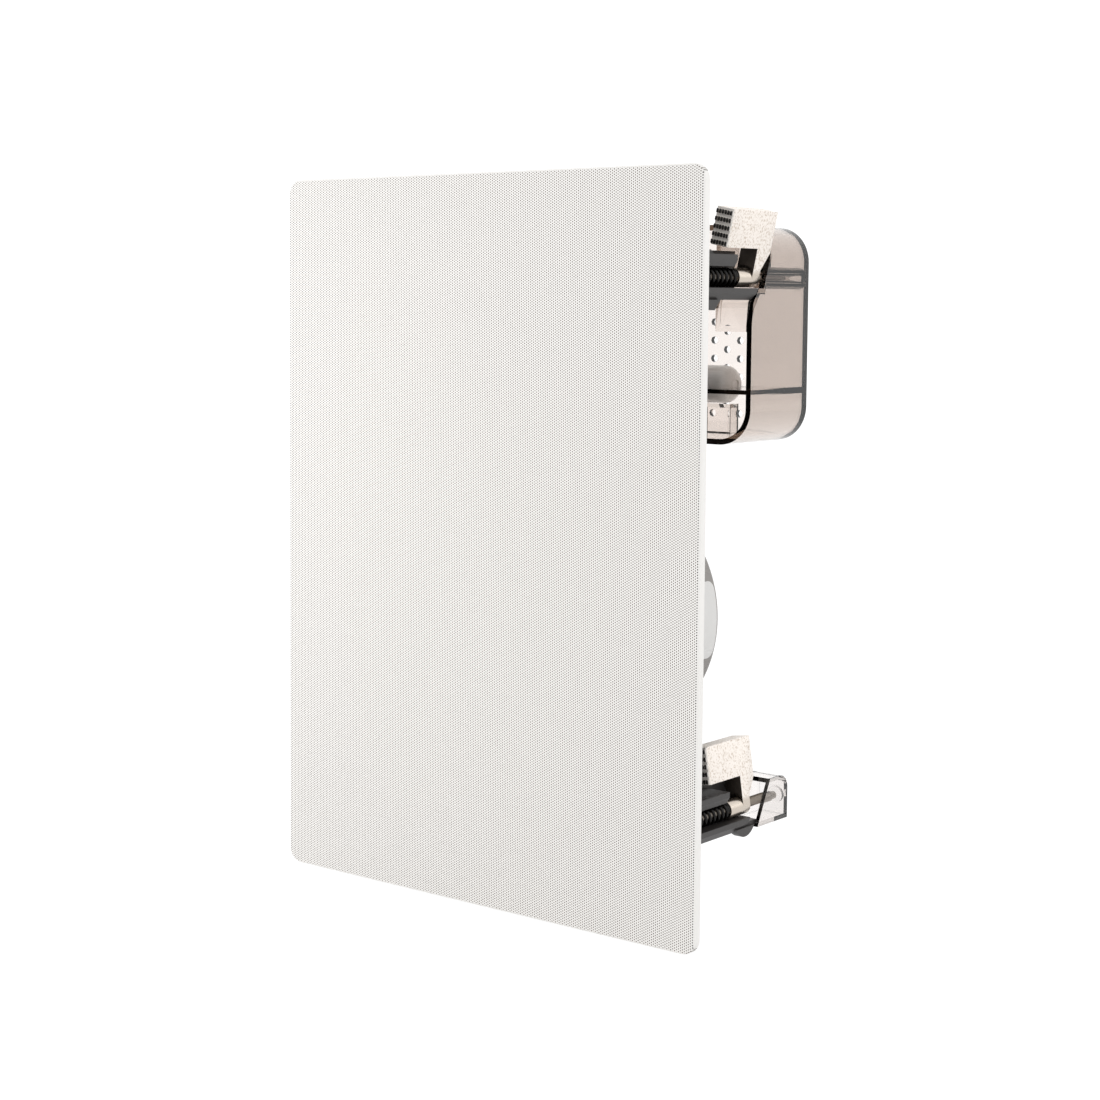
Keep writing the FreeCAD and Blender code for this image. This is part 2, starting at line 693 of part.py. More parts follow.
def crossover_cover():
    """The smoked clear moulding that closes the crossover in."""
    z_mid = (COVER_TOP_Z + COVER_BOTTOM_Z) / 2
    height = COVER_TOP_Z - COVER_BOTTOM_Z
    wall = 2 * COVER_T
    outer = rounded_slab(COVER_W, height, COVER_R, COVER_FRONT_Y, COVER_REAR_Y, z_mid)
    inner = rounded_slab(COVER_W - wall, height - wall, COVER_R - COVER_T, COVER_FRONT_Y - OVER,
                         COVER_REAR_Y - COVER_T, z_mid)
    for side in ("upper_right", "upper_left"):
        outer = outer.cut(notch(side, 0.0))
        inner = inner.cut(notch(side, COVER_T))
    body = outer.cut(inner)
    inside = outer.common(cover_shelf())
    for shell in cover_pockets():
        inside = inside.fuse(shell)
    for x, z in PILLARS:
        inside = inside.fuse(rod(PILLAR_R, COVER_FRONT_Y, COVER_REAR_Y - COVER_T / 2, x, z))
    for sign in (-1, 1):
        tube = rod(TUNNEL_R, ARM_REAR_Y + OVER, TUNNEL_REAR_Y, sign * TOWER_X, TOWER_Z_UP)
        inside = inside.fuse(outer.common(tube))
    for side in ("upper_right", "upper_left"):
        inside = inside.cut(notch(side, 0.0))
    body = body.fuse(inside)
    for sign in (-1, 1):
        end = TUNNEL_REAR_Y - TUNNEL_WALL
        body = body.cut(rod(TUNNEL_R - TUNNEL_WALL, BARREL_REAR_Y, end, sign * TOWER_X, TOWER_Z_UP))
    for x, z in PILLARS:
        body = body.cut(rod(PILLAR_SCREW_R + SCREW_CLEAR, COVER_FRONT_Y - OVER, COVER_REAR_Y + OVER, x, z))
        sink_r = COVER_SCREW_HEAD_R + SCREW_CLEAR
        body = body.cut(rod(sink_r, COVER_FRONT_Y + CAP_T, COVER_REAR_Y + OVER, x, z))
    for hole in vent_holes():
        body = body.cut(hole)
    body = body.cut(terminal_opening())
    return body.removeSplitter()


def terminal_opening():
    """The hole in the cover's rear wall for the terminal block."""
    a = TERMINAL_W / 2
    b = TERMINAL_H / 2
    return box((-a, a), (TERMINAL_FRONT_Y, COVER_REAR_Y + OVER), (TERMINAL_Z - b, TERMINAL_Z + b))


def cover_screws():
    """The four screws that hold the cover to its pillars, driven from the rear."""
    screws = []
    seat = COVER_FRONT_Y + CAP_T
    for x, z in PILLARS:
        head = rod(COVER_SCREW_HEAD_R, seat, seat + COVER_SCREW_HEAD_T, x, z)
        screws.append(head.fuse(rod(PILLAR_SCREW_R, seat - PILLAR_SCREW_L, seat, x, z)))
    return Part.makeCompound(screws)


def corner_edges(shape, y, z):
    """The level edges of a shape at one depth and height."""
    return [e for e in shape.Edges if abs(e.BoundBox.ZMin - z) < NEAR and abs(e.BoundBox.YMin - y) < NEAR]


def tip_cap(side):
    """The clear cap over the tip of a lower clamp screw."""
    z0 = CAP_W_LOW
    z1 = CAP_W_HIGH
    outer = prism_x([(cap_seat_y(z0), z0), (CAP_REAR_Y, z0), (CAP_REAR_Y, z1), (cap_seat_y(z1), z1)],
                    -CAP_U_IN, RAIL_REACH)
    outer = outer.makeFillet(CAP_TOP_R, corner_edges(outer, CAP_REAR_Y, z1))
    z2 = z0 + CAP_T
    z3 = z1 - CAP_T
    rear = CAP_REAR_Y - CAP_T
    inner = prism_x([(cap_seat_y(z2) - OVER, z2), (rear, z2), (rear, z3), (cap_seat_y(z3) - OVER, z3)],
                    -CAP_U_IN + CAP_T, RAIL_REACH - CAP_T)
    inner = inner.makeFillet(CAP_TOP_R - CAP_T, corner_edges(inner, rear, z3))
    boss = rod(CAP_BOSS_R, rear - CAP_BOSS_L, rear + OVER / 2)
    return placed(outer.cut(inner).fuse(boss), side)


def basket_r(y):
    """Outer radius of the basket's rear cone at one depth."""
    share = (y - BASKET_BEND_Y) / (BASKET_FLOOR_Y - BASKET_BEND_Y)
    return BASKET_BEND_R + share * (BASKET_THROAT_R - BASKET_BEND_R)


def basket_windows():
    """What is cut out of the basket between its spokes."""
    front = BASKET_BEND_Y + BASKET_T
    rear = BASKET_FLOOR_Y - BASKET_T
    windows = rod(WOOFER_R, front, rear, 0, WOOFER_Z)
    half = BASKET_SPOKE_W / 2
    for i in range(BASKET_SPOKES // 2):
        bar = box((-half, half), (front - OVER, rear + OVER), (-FAR, FAR))
        bar.rotate(V(0, 0, 0), Y_AXIS, 360.0 * i / BASKET_SPOKES + BASKET_SPOKE_START)
        windows = windows.cut(bar.translated(V(0, 0, WOOFER_Z)))
    return windows


def basket():
    """The pressed woofer basket: flange, windowed cone wall, spider seat and floor."""
    r0 = WOOFER_HOLE_R - OVER
    floor = [(BASKET_THROAT_R, BASKET_FLOOR_Y), (BASKET_THROAT_R, BASKET_REAR_Y),
             (BASKET_BORE_R, BASKET_REAR_Y),
             (BASKET_BORE_R, BASKET_FLOOR_Y), (BASKET_THROAT_R - BASKET_T, BASKET_FLOOR_Y)]
    outline = [(r0 - BASKET_T, BASKET_FRONT_Y), (WOOFER_R, BASKET_FRONT_Y), (WOOFER_R, BAFFLE_Y),
               (r0, BAFFLE_Y),
               (BASKET_BEND_R, BASKET_BEND_Y)] + floor + [(BASKET_BEND_R - BASKET_T, BASKET_BEND_Y)]
    body = spun(outline, 0, WOOFER_Z).cut(basket_windows())
    seat_y = SPIDER_Y + SPIDER_T
    seat = ring(basket_r(seat_y), SPIDER_R - SPIDER_SEAT_T, seat_y, seat_y + SPIDER_SEAT_T, 0, WOOFER_Z)
    body = body.fuse(seat)
    for x, z in driver_screw_places()[:WOOFER_SCREWS]:
        body = body.cut(rod(DRIVER_SCREW_R + SCREW_CLEAR, BASKET_FRONT_Y - OVER, BAFFLE_Y + OVER, x, z))
    return body


def surround():
    """The rubber half-roll between the cone and the basket's flange."""
    y = BASKET_FRONT_Y
    y1 = y - SURROUND_T
    r_mid = (CONE_R + SURROUND_R) / 2
    roll = (SURROUND_R - CONE_R) / 2
    r0 = CONE_R - SURROUND_LIP
    r1 = SURROUND_R + SURROUND_LIP
    front = roll_points(r_mid, roll, y1)
    rear = roll_points(r_mid, roll - SURROUND_T, y)
    return spun([(r0, y), (r0, y1)] + front + [(r1, y1), (r1, y)] + list(reversed(rear)), 0, WOOFER_Z)


def roll_points(r_mid, r, y):
    """Points round a half circle that bulges towards the room."""
    turn = [math.pi * i / SURROUND_STEPS for i in range(SURROUND_STEPS + 1)]
    return [(r_mid - r * math.cos(t), y - r * math.sin(t)) for t in turn]


def cone_curve():
    """The cone's front surface from the neck to the rim, as (radius, y)."""
    shares = [i / CONE_STEPS for i in range(CONE_STEPS + 1)]
    return [(FORMER_R + (CONE_R - FORMER_R) * t ** CONE_FLARE, cone_depth(t)) for t in shares]


def cone_depth(share):
    """Depth of the cone's front surface at one share of its length."""
    return CONE_NECK_Y + (CONE_FRONT_Y - CONE_NECK_Y) * share


def cone_y(r):
    """Depth of the cone's front surface at one radius."""
    points = cone_curve()
    for (r0, y0), (r1, y1) in zip(points, points[1:]):
        if r <= r1:
            return y0 + (y1 - y0) * (r - r0) / (r1 - r0)
    return CONE_FRONT_Y


def cone():
    """The paper cone, with a rim that carries the surround."""
    front = cone_curve()
    rear = [(r + CONE_T, y + CONE_T / 2) for r, y in front]
    neck_y = CONE_NECK_Y + CONE_NECK_L
    rim_y = BASKET_FRONT_Y
    step_y = CONE_FRONT_Y + CONE_T
    rim = [(CONE_R - CONE_RIM, step_y), (CONE_R - CONE_RIM, rim_y), (CONE_R + CONE_T, rim_y),
           (CONE_R + CONE_T, step_y)]
    neck = [(FORMER_R + CONE_T, neck_y), (FORMER_R, neck_y)]
    return spun(front[:-1] + rim + list(reversed(rear[:-1])) + neck, 0, WOOFER_Z)


def dome(r, rise, wall, y, z):
    """A thin dome that bulges towards the room, with its edge at one depth."""
    ball_r = (r * r + rise * rise) / (2 * rise)
    centre = V(0, y - rise + ball_r, z)
    shell = Part.makeSphere(ball_r, centre).cut(Part.makeSphere(ball_r - wall, centre))
    return shell.common(box((-FAR, FAR), (-FAR, y), (-FAR, FAR)))


def dust_cap():
    """The domed cap over the cone's neck."""
    return dome(DUST_CAP_R, DUST_CAP_RISE, DUST_CAP_T, cone_y(DUST_CAP_R), WOOFER_Z)


def coil_former():
    """The tube that the voice coil is wound on."""
    return ring(FORMER_R, COIL_R, FORMER_FRONT_Y, FORMER_REAR_Y, 0, WOOFER_Z)


def voice_coil():
    """The winding on the former, centred in the gap."""
    y = TOP_PLATE_Y + TOP_PLATE_T / 2 - COIL_L / 2
    return ring(FORMER_R + COIL_T, FORMER_R, y, y + COIL_L, 0, WOOFER_Z)


def spider():
    """The corrugated cloth that centres the voice coil."""
    r0 = FORMER_R + GLUE_LINE
    count = 2 * SPIDER_WAVES
    front = []
    for i in range(count + 1):
        r = r0 + (SPIDER_R - r0) * i / count
        lift = SPIDER_WAVE_H if i % 2 == 1 else 0.0
        front.append((r, SPIDER_Y - lift))
    rear = [(r, y + SPIDER_T) for r, y in reversed(front)]
    return spun(front + rear, 0, WOOFER_Z)


def top_plate():
    """The steel plate in front of the magnet."""
    bore = FORMER_R + COIL_T + COIL_GAP
    return ring(TOP_PLATE_R, bore, TOP_PLATE_Y, MAGNET_RING_Y, 0, WOOFER_Z)


def magnet_ring():
    """The ceramic ring magnet."""
    return ring(MAGNET_RING_R, MAGNET_BORE_R, MAGNET_RING_Y, YOKE_Y, 0, WOOFER_Z)


def yoke():
    """The steel rear plate with its vented pole piece."""
    pole_r = COIL_R - COIL_GAP
    rear = YOKE_Y + YOKE_T
    outline = [(POLE_VENT_R, TOP_PLATE_Y), (pole_r, TOP_PLATE_Y), (pole_r, YOKE_Y), (YOKE_R, YOKE_Y),
               (YOKE_R, rear), (POLE_VENT_R + POLE_VENT_FLARE, rear), (POLE_VENT_R, rear - POLE_VENT_FLARE)]
    return spun(outline, 0, WOOFER_Z)


def magnet_boot():
    """The rubber boot round the magnet."""
    plate = YOKE_Y + YOKE_T
    lip_r = BOOT_OPEN_R - BOOT_LIP
    half = BOOT_ROUND / 2
    third = BOOT_ROUND / 3
    front = [(MAGNET_RING_R, BOOT_FRONT_Y), (BOOT_R - half, BOOT_FRONT_Y), (BOOT_R, BOOT_FRONT_Y + half)]
    corner = [(BOOT_R, BOOT_REAR_Y - BOOT_ROUND), (BOOT_R - third, BOOT_REAR_Y - third),
              (BOOT_R - BOOT_ROUND, BOOT_REAR_Y)]
    rear = [(BOOT_OPEN_R, BOOT_REAR_Y), (lip_r, plate), (MAGNET_RING_R, plate)]
    return spun(front + corner + rear, 0, WOOFER_Z)


def boot_label():
    """A bare paper label wrapped round the right-hand side of the boot."""
    band = ring(BOOT_R + LABEL_T, BOOT_R, LABEL_Y[0], LABEL_Y[1])
    reach = BOOT_R + OVER
    rise = reach * math.tan(math.radians(LABEL_HALF_ANGLE))
    wedge = prism_y([(0, 0), (reach, -rise), (reach, rise)], LABEL_Y[0] - OVER, LABEL_Y[1] + OVER)
    label = band.common(wedge)
    label.translate(V(0, 0, WOOFER_Z))
    return label


def woofer_terminals():
    """Two solder tabs on a small strip at the basket's lower side."""
    y = BASKET_FLOOR_Y
    half = TAB_STRIP_W / 2
    top = WOOFER_Z - BASKET_THROAT_R
    low = top - TERMINAL_TAB_W
    strip = box((-half, half), (y, BASKET_REAR_Y), (low, top + TAB_STRIP_INSET))
    tabs = strip.cut(rod(BASKET_THROAT_R, y - OVER, BASKET_REAR_Y + OVER, 0, WOOFER_Z))
    for sign in (-1, 1):
        x = sign * TERMINAL_TAB_W
        tab = box((x - TERMINAL_TAB_W / 2, x + TERMINAL_TAB_W / 2), (y - TERMINAL_TAB_T, y),
                  (low - TERMINAL_TAB_W, low + TERMINAL_TAB_W / 2))
        tabs = tabs.fuse(tab)
    return tabs


def tweeter_plate():
    """The tweeter's front plate with its flared mouth."""
    y0 = BAFFLE_Y - TWEETER_PLATE_T
    neck = TWEETER_HOLE_R - TWEETER_GAP
    outline = [(DOME_RING_R, BAFFLE_Y - HORN_LAND), (HORN_THROAT_R, y0 + HORN_DEPTH), (HORN_R, y0),
               (TWEETER_R - TWEETER_ROUND, y0), (TWEETER_R, y0 + TWEETER_ROUND), (TWEETER_R, BAFFLE_Y),
               (neck, BAFFLE_Y), (neck, TWEETER_MOTOR_Y), (DOME_RING_R, TWEETER_MOTOR_Y)]
    plate = spun(outline, 0, TWEETER_Z)
    for x, z in driver_screw_places()[WOOFER_SCREWS:]:
        plate = plate.cut(rod(DRIVER_SCREW_R + SCREW_CLEAR, y0 - OVER, BAFFLE_Y + OVER, x, z))
    return plate


def tweeter_dome():
    """The soft dome with its small voice coil."""
    shell = dome(DOME_R, DOME_RISE, DOME_T, DOME_EDGE_Y, TWEETER_Z)
    coil = ring(DOME_R, DOME_R - TWEETER_COIL_T, DOME_EDGE_Y - DOME_T, DOME_EDGE_Y + TWEETER_COIL_L, 0,
                TWEETER_Z)
    return shell.fuse(coil)


def tweeter_edge():
    """The rolled edge that hangs the dome in its plate."""
    y = DOME_EDGE_Y
    r0 = DOME_R + GLUE_LINE
    r_mid = (DOME_R + DOME_RING_R) / 2
    outline = [(r0, y - DOME_EDGE_T), (r_mid, y - 2 * DOME_EDGE_T), (DOME_RING_R, y - DOME_EDGE_T),
               (DOME_RING_R, y), (r_mid, y - DOME_EDGE_T), (r0, y)]
    return spun(outline, 0, TWEETER_Z)


def tweeter_top_plate():
    """The steel plate in front of the tweeter's magnet."""
    return ring(TWEETER_MOTOR_R, DOME_R + TWEETER_GAP, TWEETER_MOTOR_Y, TWEETER_MAGNET_Y, 0, TWEETER_Z)


def tweeter_magnet():
    """The tweeter's ceramic ring magnet."""
    return ring(TWEETER_MOTOR_R, DOME_R + TWEETER_BORE_GAP, TWEETER_MAGNET_Y, TWEETER_YOKE_Y, 0, TWEETER_Z)


def tweeter_yoke():
    """The tweeter's rear plate and pole."""
    pole_r = DOME_R - TWEETER_COIL_T - TWEETER_GAP
    outline = [(TWEETER_VENT_R, TWEETER_MOTOR_Y), (pole_r, TWEETER_MOTOR_Y), (pole_r, TWEETER_YOKE_Y),
               (TWEETER_MOTOR_R, TWEETER_YOKE_Y), (TWEETER_MOTOR_R, TWEETER_CUP_Y), (TWEETER_VENT_R,
                                                                                     TWEETER_CUP_Y)]
    return spun(outline, 0, TWEETER_Z)


def tweeter_cup():
    """The closed cup behind the tweeter."""
    rear = TWEETER_CUP_Y + TWEETER_CUP_L
    inner_r = TWEETER_CUP_R - TWEETER_CUP_WALL
    inner_y = rear - TWEETER_CUP_WALL
    outline = [(inner_r, TWEETER_CUP_Y), (TWEETER_CUP_R, TWEETER_CUP_Y),
               (TWEETER_CUP_R, rear - TWEETER_CUP_CHAMFER),
               (TWEETER_CUP_R - TWEETER_CUP_CHAMFER, rear), (0, rear), (0, inner_y), (inner_r, inner_y)]
    return spun(outline, 0, TWEETER_Z)


def crossover_board():
    """The crossover's circuit board."""
    a = BOARD_W / 2
    return box((-a, a), (BOARD_Y, BOARD_Y + BOARD_T), BOARD_Z)


def board_posts():
    """Spacers between the board and the cover's rear wall."""
    x = BOARD_W / 2 - POST_INSET[0]
    rows = (BOARD_Z[0] + POST_INSET[0], BOARD_Z[1] - POST_INSET[1])
    front = BOARD_Y + BOARD_T
    posts = [rod(POST_R, front, COVER_REAR_Y - COVER_T, s * x, z) for s in (-1, 1) for z in rows]
    return Part.makeCompound(posts)


def air_coil():
    """The air-cored inductor on its bobbin."""
    x, z = AIR_COIL_AT
    front = BOARD_Y - AIR_COIL_L
    core = AIR_COIL_R / 2
    wound = AIR_COIL_R - BOBBIN_T
    outline = [(core, front), (AIR_COIL_R, front), (AIR_COIL_R, front + BOBBIN_T), (wound, front + BOBBIN_T),
               (wound, BOARD_Y - BOBBIN_T), (AIR_COIL_R, BOARD_Y - BOBBIN_T), (AIR_COIL_R, BOARD_Y),
               (core, BOARD_Y)]
    return spun(outline, x, z)


def core_coil():
    """The iron-cored inductor, lying across the board."""
    x, z = CORE_COIL_AT
    a = CORE_COIL_L / 2
    r = CORE_COIL_R
    coil = Part.makeCylinder(r - BOBBIN_T, CORE_COIL_L, V(x - a, BOARD_Y - r, z), V(1, 0, 0))
    for end in (x - a, x + a):
        coil = coil.fuse(box((end - BOBBIN_T, end + BOBBIN_T), (BOARD_Y - 2 * r, BOARD_Y), (z - r, z + r)))
    return coil


def small_capacitor():
    """The electrolytic capacitor on the board."""
    x, z = SMALL_CAP_AT
    y = BOARD_Y - SMALL_CAP_R
    return Part.makeCylinder(SMALL_CAP_R, SMALL_CAP_L, V(x - SMALL_CAP_L / 2, y, z), V(1, 0, 0))


def resistor():
    """The cement resistor on the board."""
    x, z = RESISTOR_AT
    length, depth, height = RESISTOR
    return box((x - length / 2, x + length / 2), (BOARD_Y - depth, BOARD_Y), (z - height / 2, z + height / 2))


def large_capacitor():
    """The film capacitor lying in the cover's shelf."""
    length = BIG_CAP_X[1] - BIG_CAP_X[0]
    return Part.makeCylinder(BIG_CAP_R, length, V(BIG_CAP_X[0], BIG_CAP_Y, BIG_CAP_Z), V(1, 0, 0))


def terminal_block():
    """The block that holds the two push terminals."""
    a = TERMINAL_W / 2
    b = TERMINAL_H / 2
    body = box((-a, a), (TERMINAL_FRONT_Y, COVER_REAR_Y), (TERMINAL_Z - b, TERMINAL_Z + b))
    a += TERMINAL_LIP
    b += TERMINAL_LIP
    body = body.fuse(box((-a, a), (COVER_REAR_Y, TERMINAL_REAR_Y), (TERMINAL_Z - b, TERMINAL_Z + b)))
    w = BUTTON_W / 2 + BUTTON_FIT
    h = BUTTON_H / 2 + BUTTON_FIT
    for x in (-BUTTON_X, BUTTON_X):
        body = body.cut(box((x - w, x + w), (WELL_Y, TERMINAL_REAR_Y + OVER), (BUTTON_Z - h, BUTTON_Z + h)))
        body = body.cut(rod(WIRE_HOLE_R, WELL_Y, TERMINAL_REAR_Y + OVER, x, TERMINAL_Z - WIRE_HOLE_DROP))
    return body


def push_button(x):
    """One spring-loaded button of the push terminals."""
    rear = TERMINAL_REAR_Y + BUTTON_PROUD
    front = WELL_Y + BUTTON_TRAVEL + BUTTON_FIT
    a = BUTTON_W / 2
    b = BUTTON_H / 2
    body = box((x - a, x + a), (front, rear), (BUTTON_Z - b, BUTTON_Z + b))
    edges = [e for e in body.Edges if e.BoundBox.YMin > rear - NEAR]
    return body.makeFillet(BUTTON_ROUND, edges)


def all_pieces():
    """Every piece, by the name of its node."""
    pieces = {
        "grille_panel": grille_panel(), "grille_magnets": magnets(), "frame_baffle": frame_baffle(),
        "driver_screws": driver_screws(), "woofer_basket": basket(), "woofer_surround": surround(),
        "woofer_cone": cone(), "woofer_dust_cap": dust_cap(), "woofer_coil_former": coil_former(),
        "woofer_voice_coil": voice_coil(), "woofer_spider": spider(), "woofer_top_plate": top_plate(),
        "woofer_magnet": magnet_ring(), "woofer_yoke": yoke(), "magnet_boot": magnet_boot(),
        "boot_label": boot_label(), "woofer_terminals": woofer_terminals(), "tweeter_plate": tweeter_plate(),
        "tweeter_dome": tweeter_dome(), "tweeter_edge": tweeter_edge(),
        "tweeter_top_plate": tweeter_top_plate(),
        "tweeter_magnet": tweeter_magnet(), "tweeter_yoke": tweeter_yoke(), "tweeter_cup": tweeter_cup(),
        "crossover_board": crossover_board(), "board_posts": board_posts(), "air_coil": air_coil(),
        "core_coil": core_coil(), "small_capacitor": small_capacitor(), "resistor": resistor(),
        "large_capacitor": large_capacitor(), "crossover_cover": crossover_cover(),
        "cover_screws": cover_screws(),
        "terminal_block": terminal_block(), "button_left": push_button(-BUTTON_X),
        "button_right": push_button(BUTTON_X),
    }
    for side in SIDES:
        pieces["clamp_screw_" + side] = clamp_screw(side)
        pieces["clamp_spring_" + side] = clamp_spring(side)
        pieces["clamp_arm_" + side] = clamp_arm(side)
        pieces["clamp_pad_" + side] = clamp_pad(side)
    for side in ("lower_right", "lower_left"):
        pieces["tip_cap_" + side] = tip_cap(side)
    return pieces


def main():
    """Write each piece to its own file."""
    os.makedirs("parts", exist_ok=True)
    for name, shape in all_pieces().items():
        shape.exportStep("parts/" + name + ".step")
        print(name, len(shape.Solids), round(shape.Volume, 1), shape.isValid())


main()
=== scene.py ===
"""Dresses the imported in-wall loudspeaker and lights it for its photograph.

Every length is in metres in the frame of the CAD model: +X to the right seen from the room,
+Y into the wall and +Z up, with the origin on the wall's surface.
"""
import logging
import math
import random
from dataclasses import dataclass, field
from enum import Enum
from typing import Sequence

import bmesh
import bpy
from mathutils import Matrix, Vector


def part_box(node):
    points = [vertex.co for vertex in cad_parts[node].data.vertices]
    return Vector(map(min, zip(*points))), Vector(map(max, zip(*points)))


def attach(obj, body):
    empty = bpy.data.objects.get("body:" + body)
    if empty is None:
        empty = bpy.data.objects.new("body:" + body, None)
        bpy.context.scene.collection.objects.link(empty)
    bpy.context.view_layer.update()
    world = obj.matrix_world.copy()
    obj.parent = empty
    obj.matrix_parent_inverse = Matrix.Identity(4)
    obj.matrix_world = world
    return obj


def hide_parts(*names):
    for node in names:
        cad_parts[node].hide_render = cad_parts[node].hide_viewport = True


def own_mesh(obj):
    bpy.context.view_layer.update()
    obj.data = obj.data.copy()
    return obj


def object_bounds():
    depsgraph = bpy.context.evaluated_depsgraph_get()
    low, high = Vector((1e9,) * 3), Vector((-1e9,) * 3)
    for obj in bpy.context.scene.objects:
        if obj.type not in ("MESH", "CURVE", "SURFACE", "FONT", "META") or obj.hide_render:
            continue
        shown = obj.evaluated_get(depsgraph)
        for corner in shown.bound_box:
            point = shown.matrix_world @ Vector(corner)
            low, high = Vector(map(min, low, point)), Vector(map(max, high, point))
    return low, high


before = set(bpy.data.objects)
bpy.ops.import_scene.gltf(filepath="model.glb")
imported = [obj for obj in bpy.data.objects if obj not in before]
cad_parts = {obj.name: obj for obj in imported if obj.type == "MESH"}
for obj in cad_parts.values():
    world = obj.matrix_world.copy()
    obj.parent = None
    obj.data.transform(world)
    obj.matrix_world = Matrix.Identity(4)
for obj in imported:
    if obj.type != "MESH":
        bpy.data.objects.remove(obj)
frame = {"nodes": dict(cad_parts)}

MM = 0.001
LOG = logging.getLogger("scene")
CAD_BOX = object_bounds()
GRILLE_HALF = Vector((104.0, 0.0, 145.0)) * MM
WOOFER = (0.0, -35.0 * MM)
TOWER_X = 85.5 * MM
TOWER_Z = (104.65 * MM, -101.55 * MM)
BAFFLE_Y = 9.0 * MM
ROUND = 96
CREASE = math.radians(35.0)
EVEN = (1.0, 1.0, 1.0)
Y_AXIS = Vector((0.0, 1.0, 0.0))
MERGE = 0.001 * MM
# How far the grain swings a surface's roughness, and the span that most of a noise's values lie in.
GLOSS_SWING = 0.12
NOISE_SPAN = (0.3, 0.7)

Point = tuple[float, float, float]
Pair = tuple[float, float]
Colour = tuple[float, float, float, float]


class Side(Enum):
    """The four clamps, each with its tilt at rest in degrees."""

    UPPER_RIGHT = ("upper_right", 12.0)
    LOWER_RIGHT = ("lower_right", -8.5)
    UPPER_LEFT = ("upper_left", 4.0)
    LOWER_LEFT = ("lower_left", -3.0)

    @property
    def label(self) -> str:
        """The side's name as the nodes and joints spell it."""
        return self.value[0]

    @property
    def tilt(self) -> float:
        """The parked arm's turn about +Y in radians."""
        return math.radians(self.value[1])


def linear(code: str) -> Colour:
    """Turns an sRGB hex value into linear light.

    Args:
        code: Six hex digits, such as "f0ede8".

    Returns:
        Red, green, blue and an alpha of one.
    """
    parts = [int(code[i:i + 2], 16) / 255 for i in (0, 2, 4)]
    light = [c / 12.92 if c <= 0.04045 else ((c + 0.055) / 1.055) ** 2.4 for c in parts]
    return (light[0], light[1], light[2], 1.0)


def darker(code: str, share: float) -> Colour:
    """Returns a hex colour in linear light, darkened by a share."""
    red, green, blue, alpha = linear(code)
    return (red * (1 - share), green * (1 - share), blue * (1 - share), alpha)


class Graph:
    """The node tree of a material or of the world."""

    def __init__(self, owner: bpy.types.Material | bpy.types.World, out: str = "OutputMaterial") -> None:
        """Starts a tree that holds only its output.

        Args:
            owner: The new material or world.
            out: The kind of its output.
        """
        owner.use_nodes = True
        self.owner = owner
        self.tree = owner.node_tree
        self.tree.nodes.clear()
        self.out = self.add(out)

    def add(self, kind: str, inputs: dict | None = None, **settings: object) -> bpy.types.Node:
        """Adds a node with its settings and links.

        Args:
            kind: The node's type without the leading "ShaderNode".
            inputs: Input name or number to a plain value, a node (its first output) or a socket.
            **settings: Properties of the node itself.

        Returns:
            The new node.
        """
        node = self.tree.nodes.new("ShaderNode" + kind)
        for key, value in settings.items():
            setattr(node, key, value)
        for key, value in (inputs or {}).items():
            if isinstance(value, bpy.types.Node):
                value = value.outputs[0]
            if isinstance(value, bpy.types.NodeSocket):
                self.tree.links.new(value, node.inputs[key])
            else:
                node.inputs[key].default_value = value
        return node

    def joined(self, *parts: object, join: str = "MULTIPLY") -> bpy.types.Node:
        """Joins masks and tests into one value.

        Args:
            *parts: Nodes, sockets, or tests as a tuple of an operation and its inputs.
            join: MULTIPLY where all tests have to hold, MAXIMUM where one is enough.

        Returns:
            The node of the joined value.
        """
        total = None
        for part in parts:
            if isinstance(part, tuple):
                part = self.add("Math", dict(enumerate(part[1:])), operation=part[0])
            total = part if total is None else self.add("Math", {0: total, 1: part}, operation=join)
        return total

    def point(self) -> bpy.types.NodeSocket:
        """Returns the point on the object."""
        return self.add("TexCoord").outputs["Object"]

    def end(self, **links: bpy.types.Node) -> None:
        """Links nodes to the output, each named after its socket there."""
        for socket, node in links.items():
            self.tree.links.new(node.outputs[0], self.out.inputs[socket])


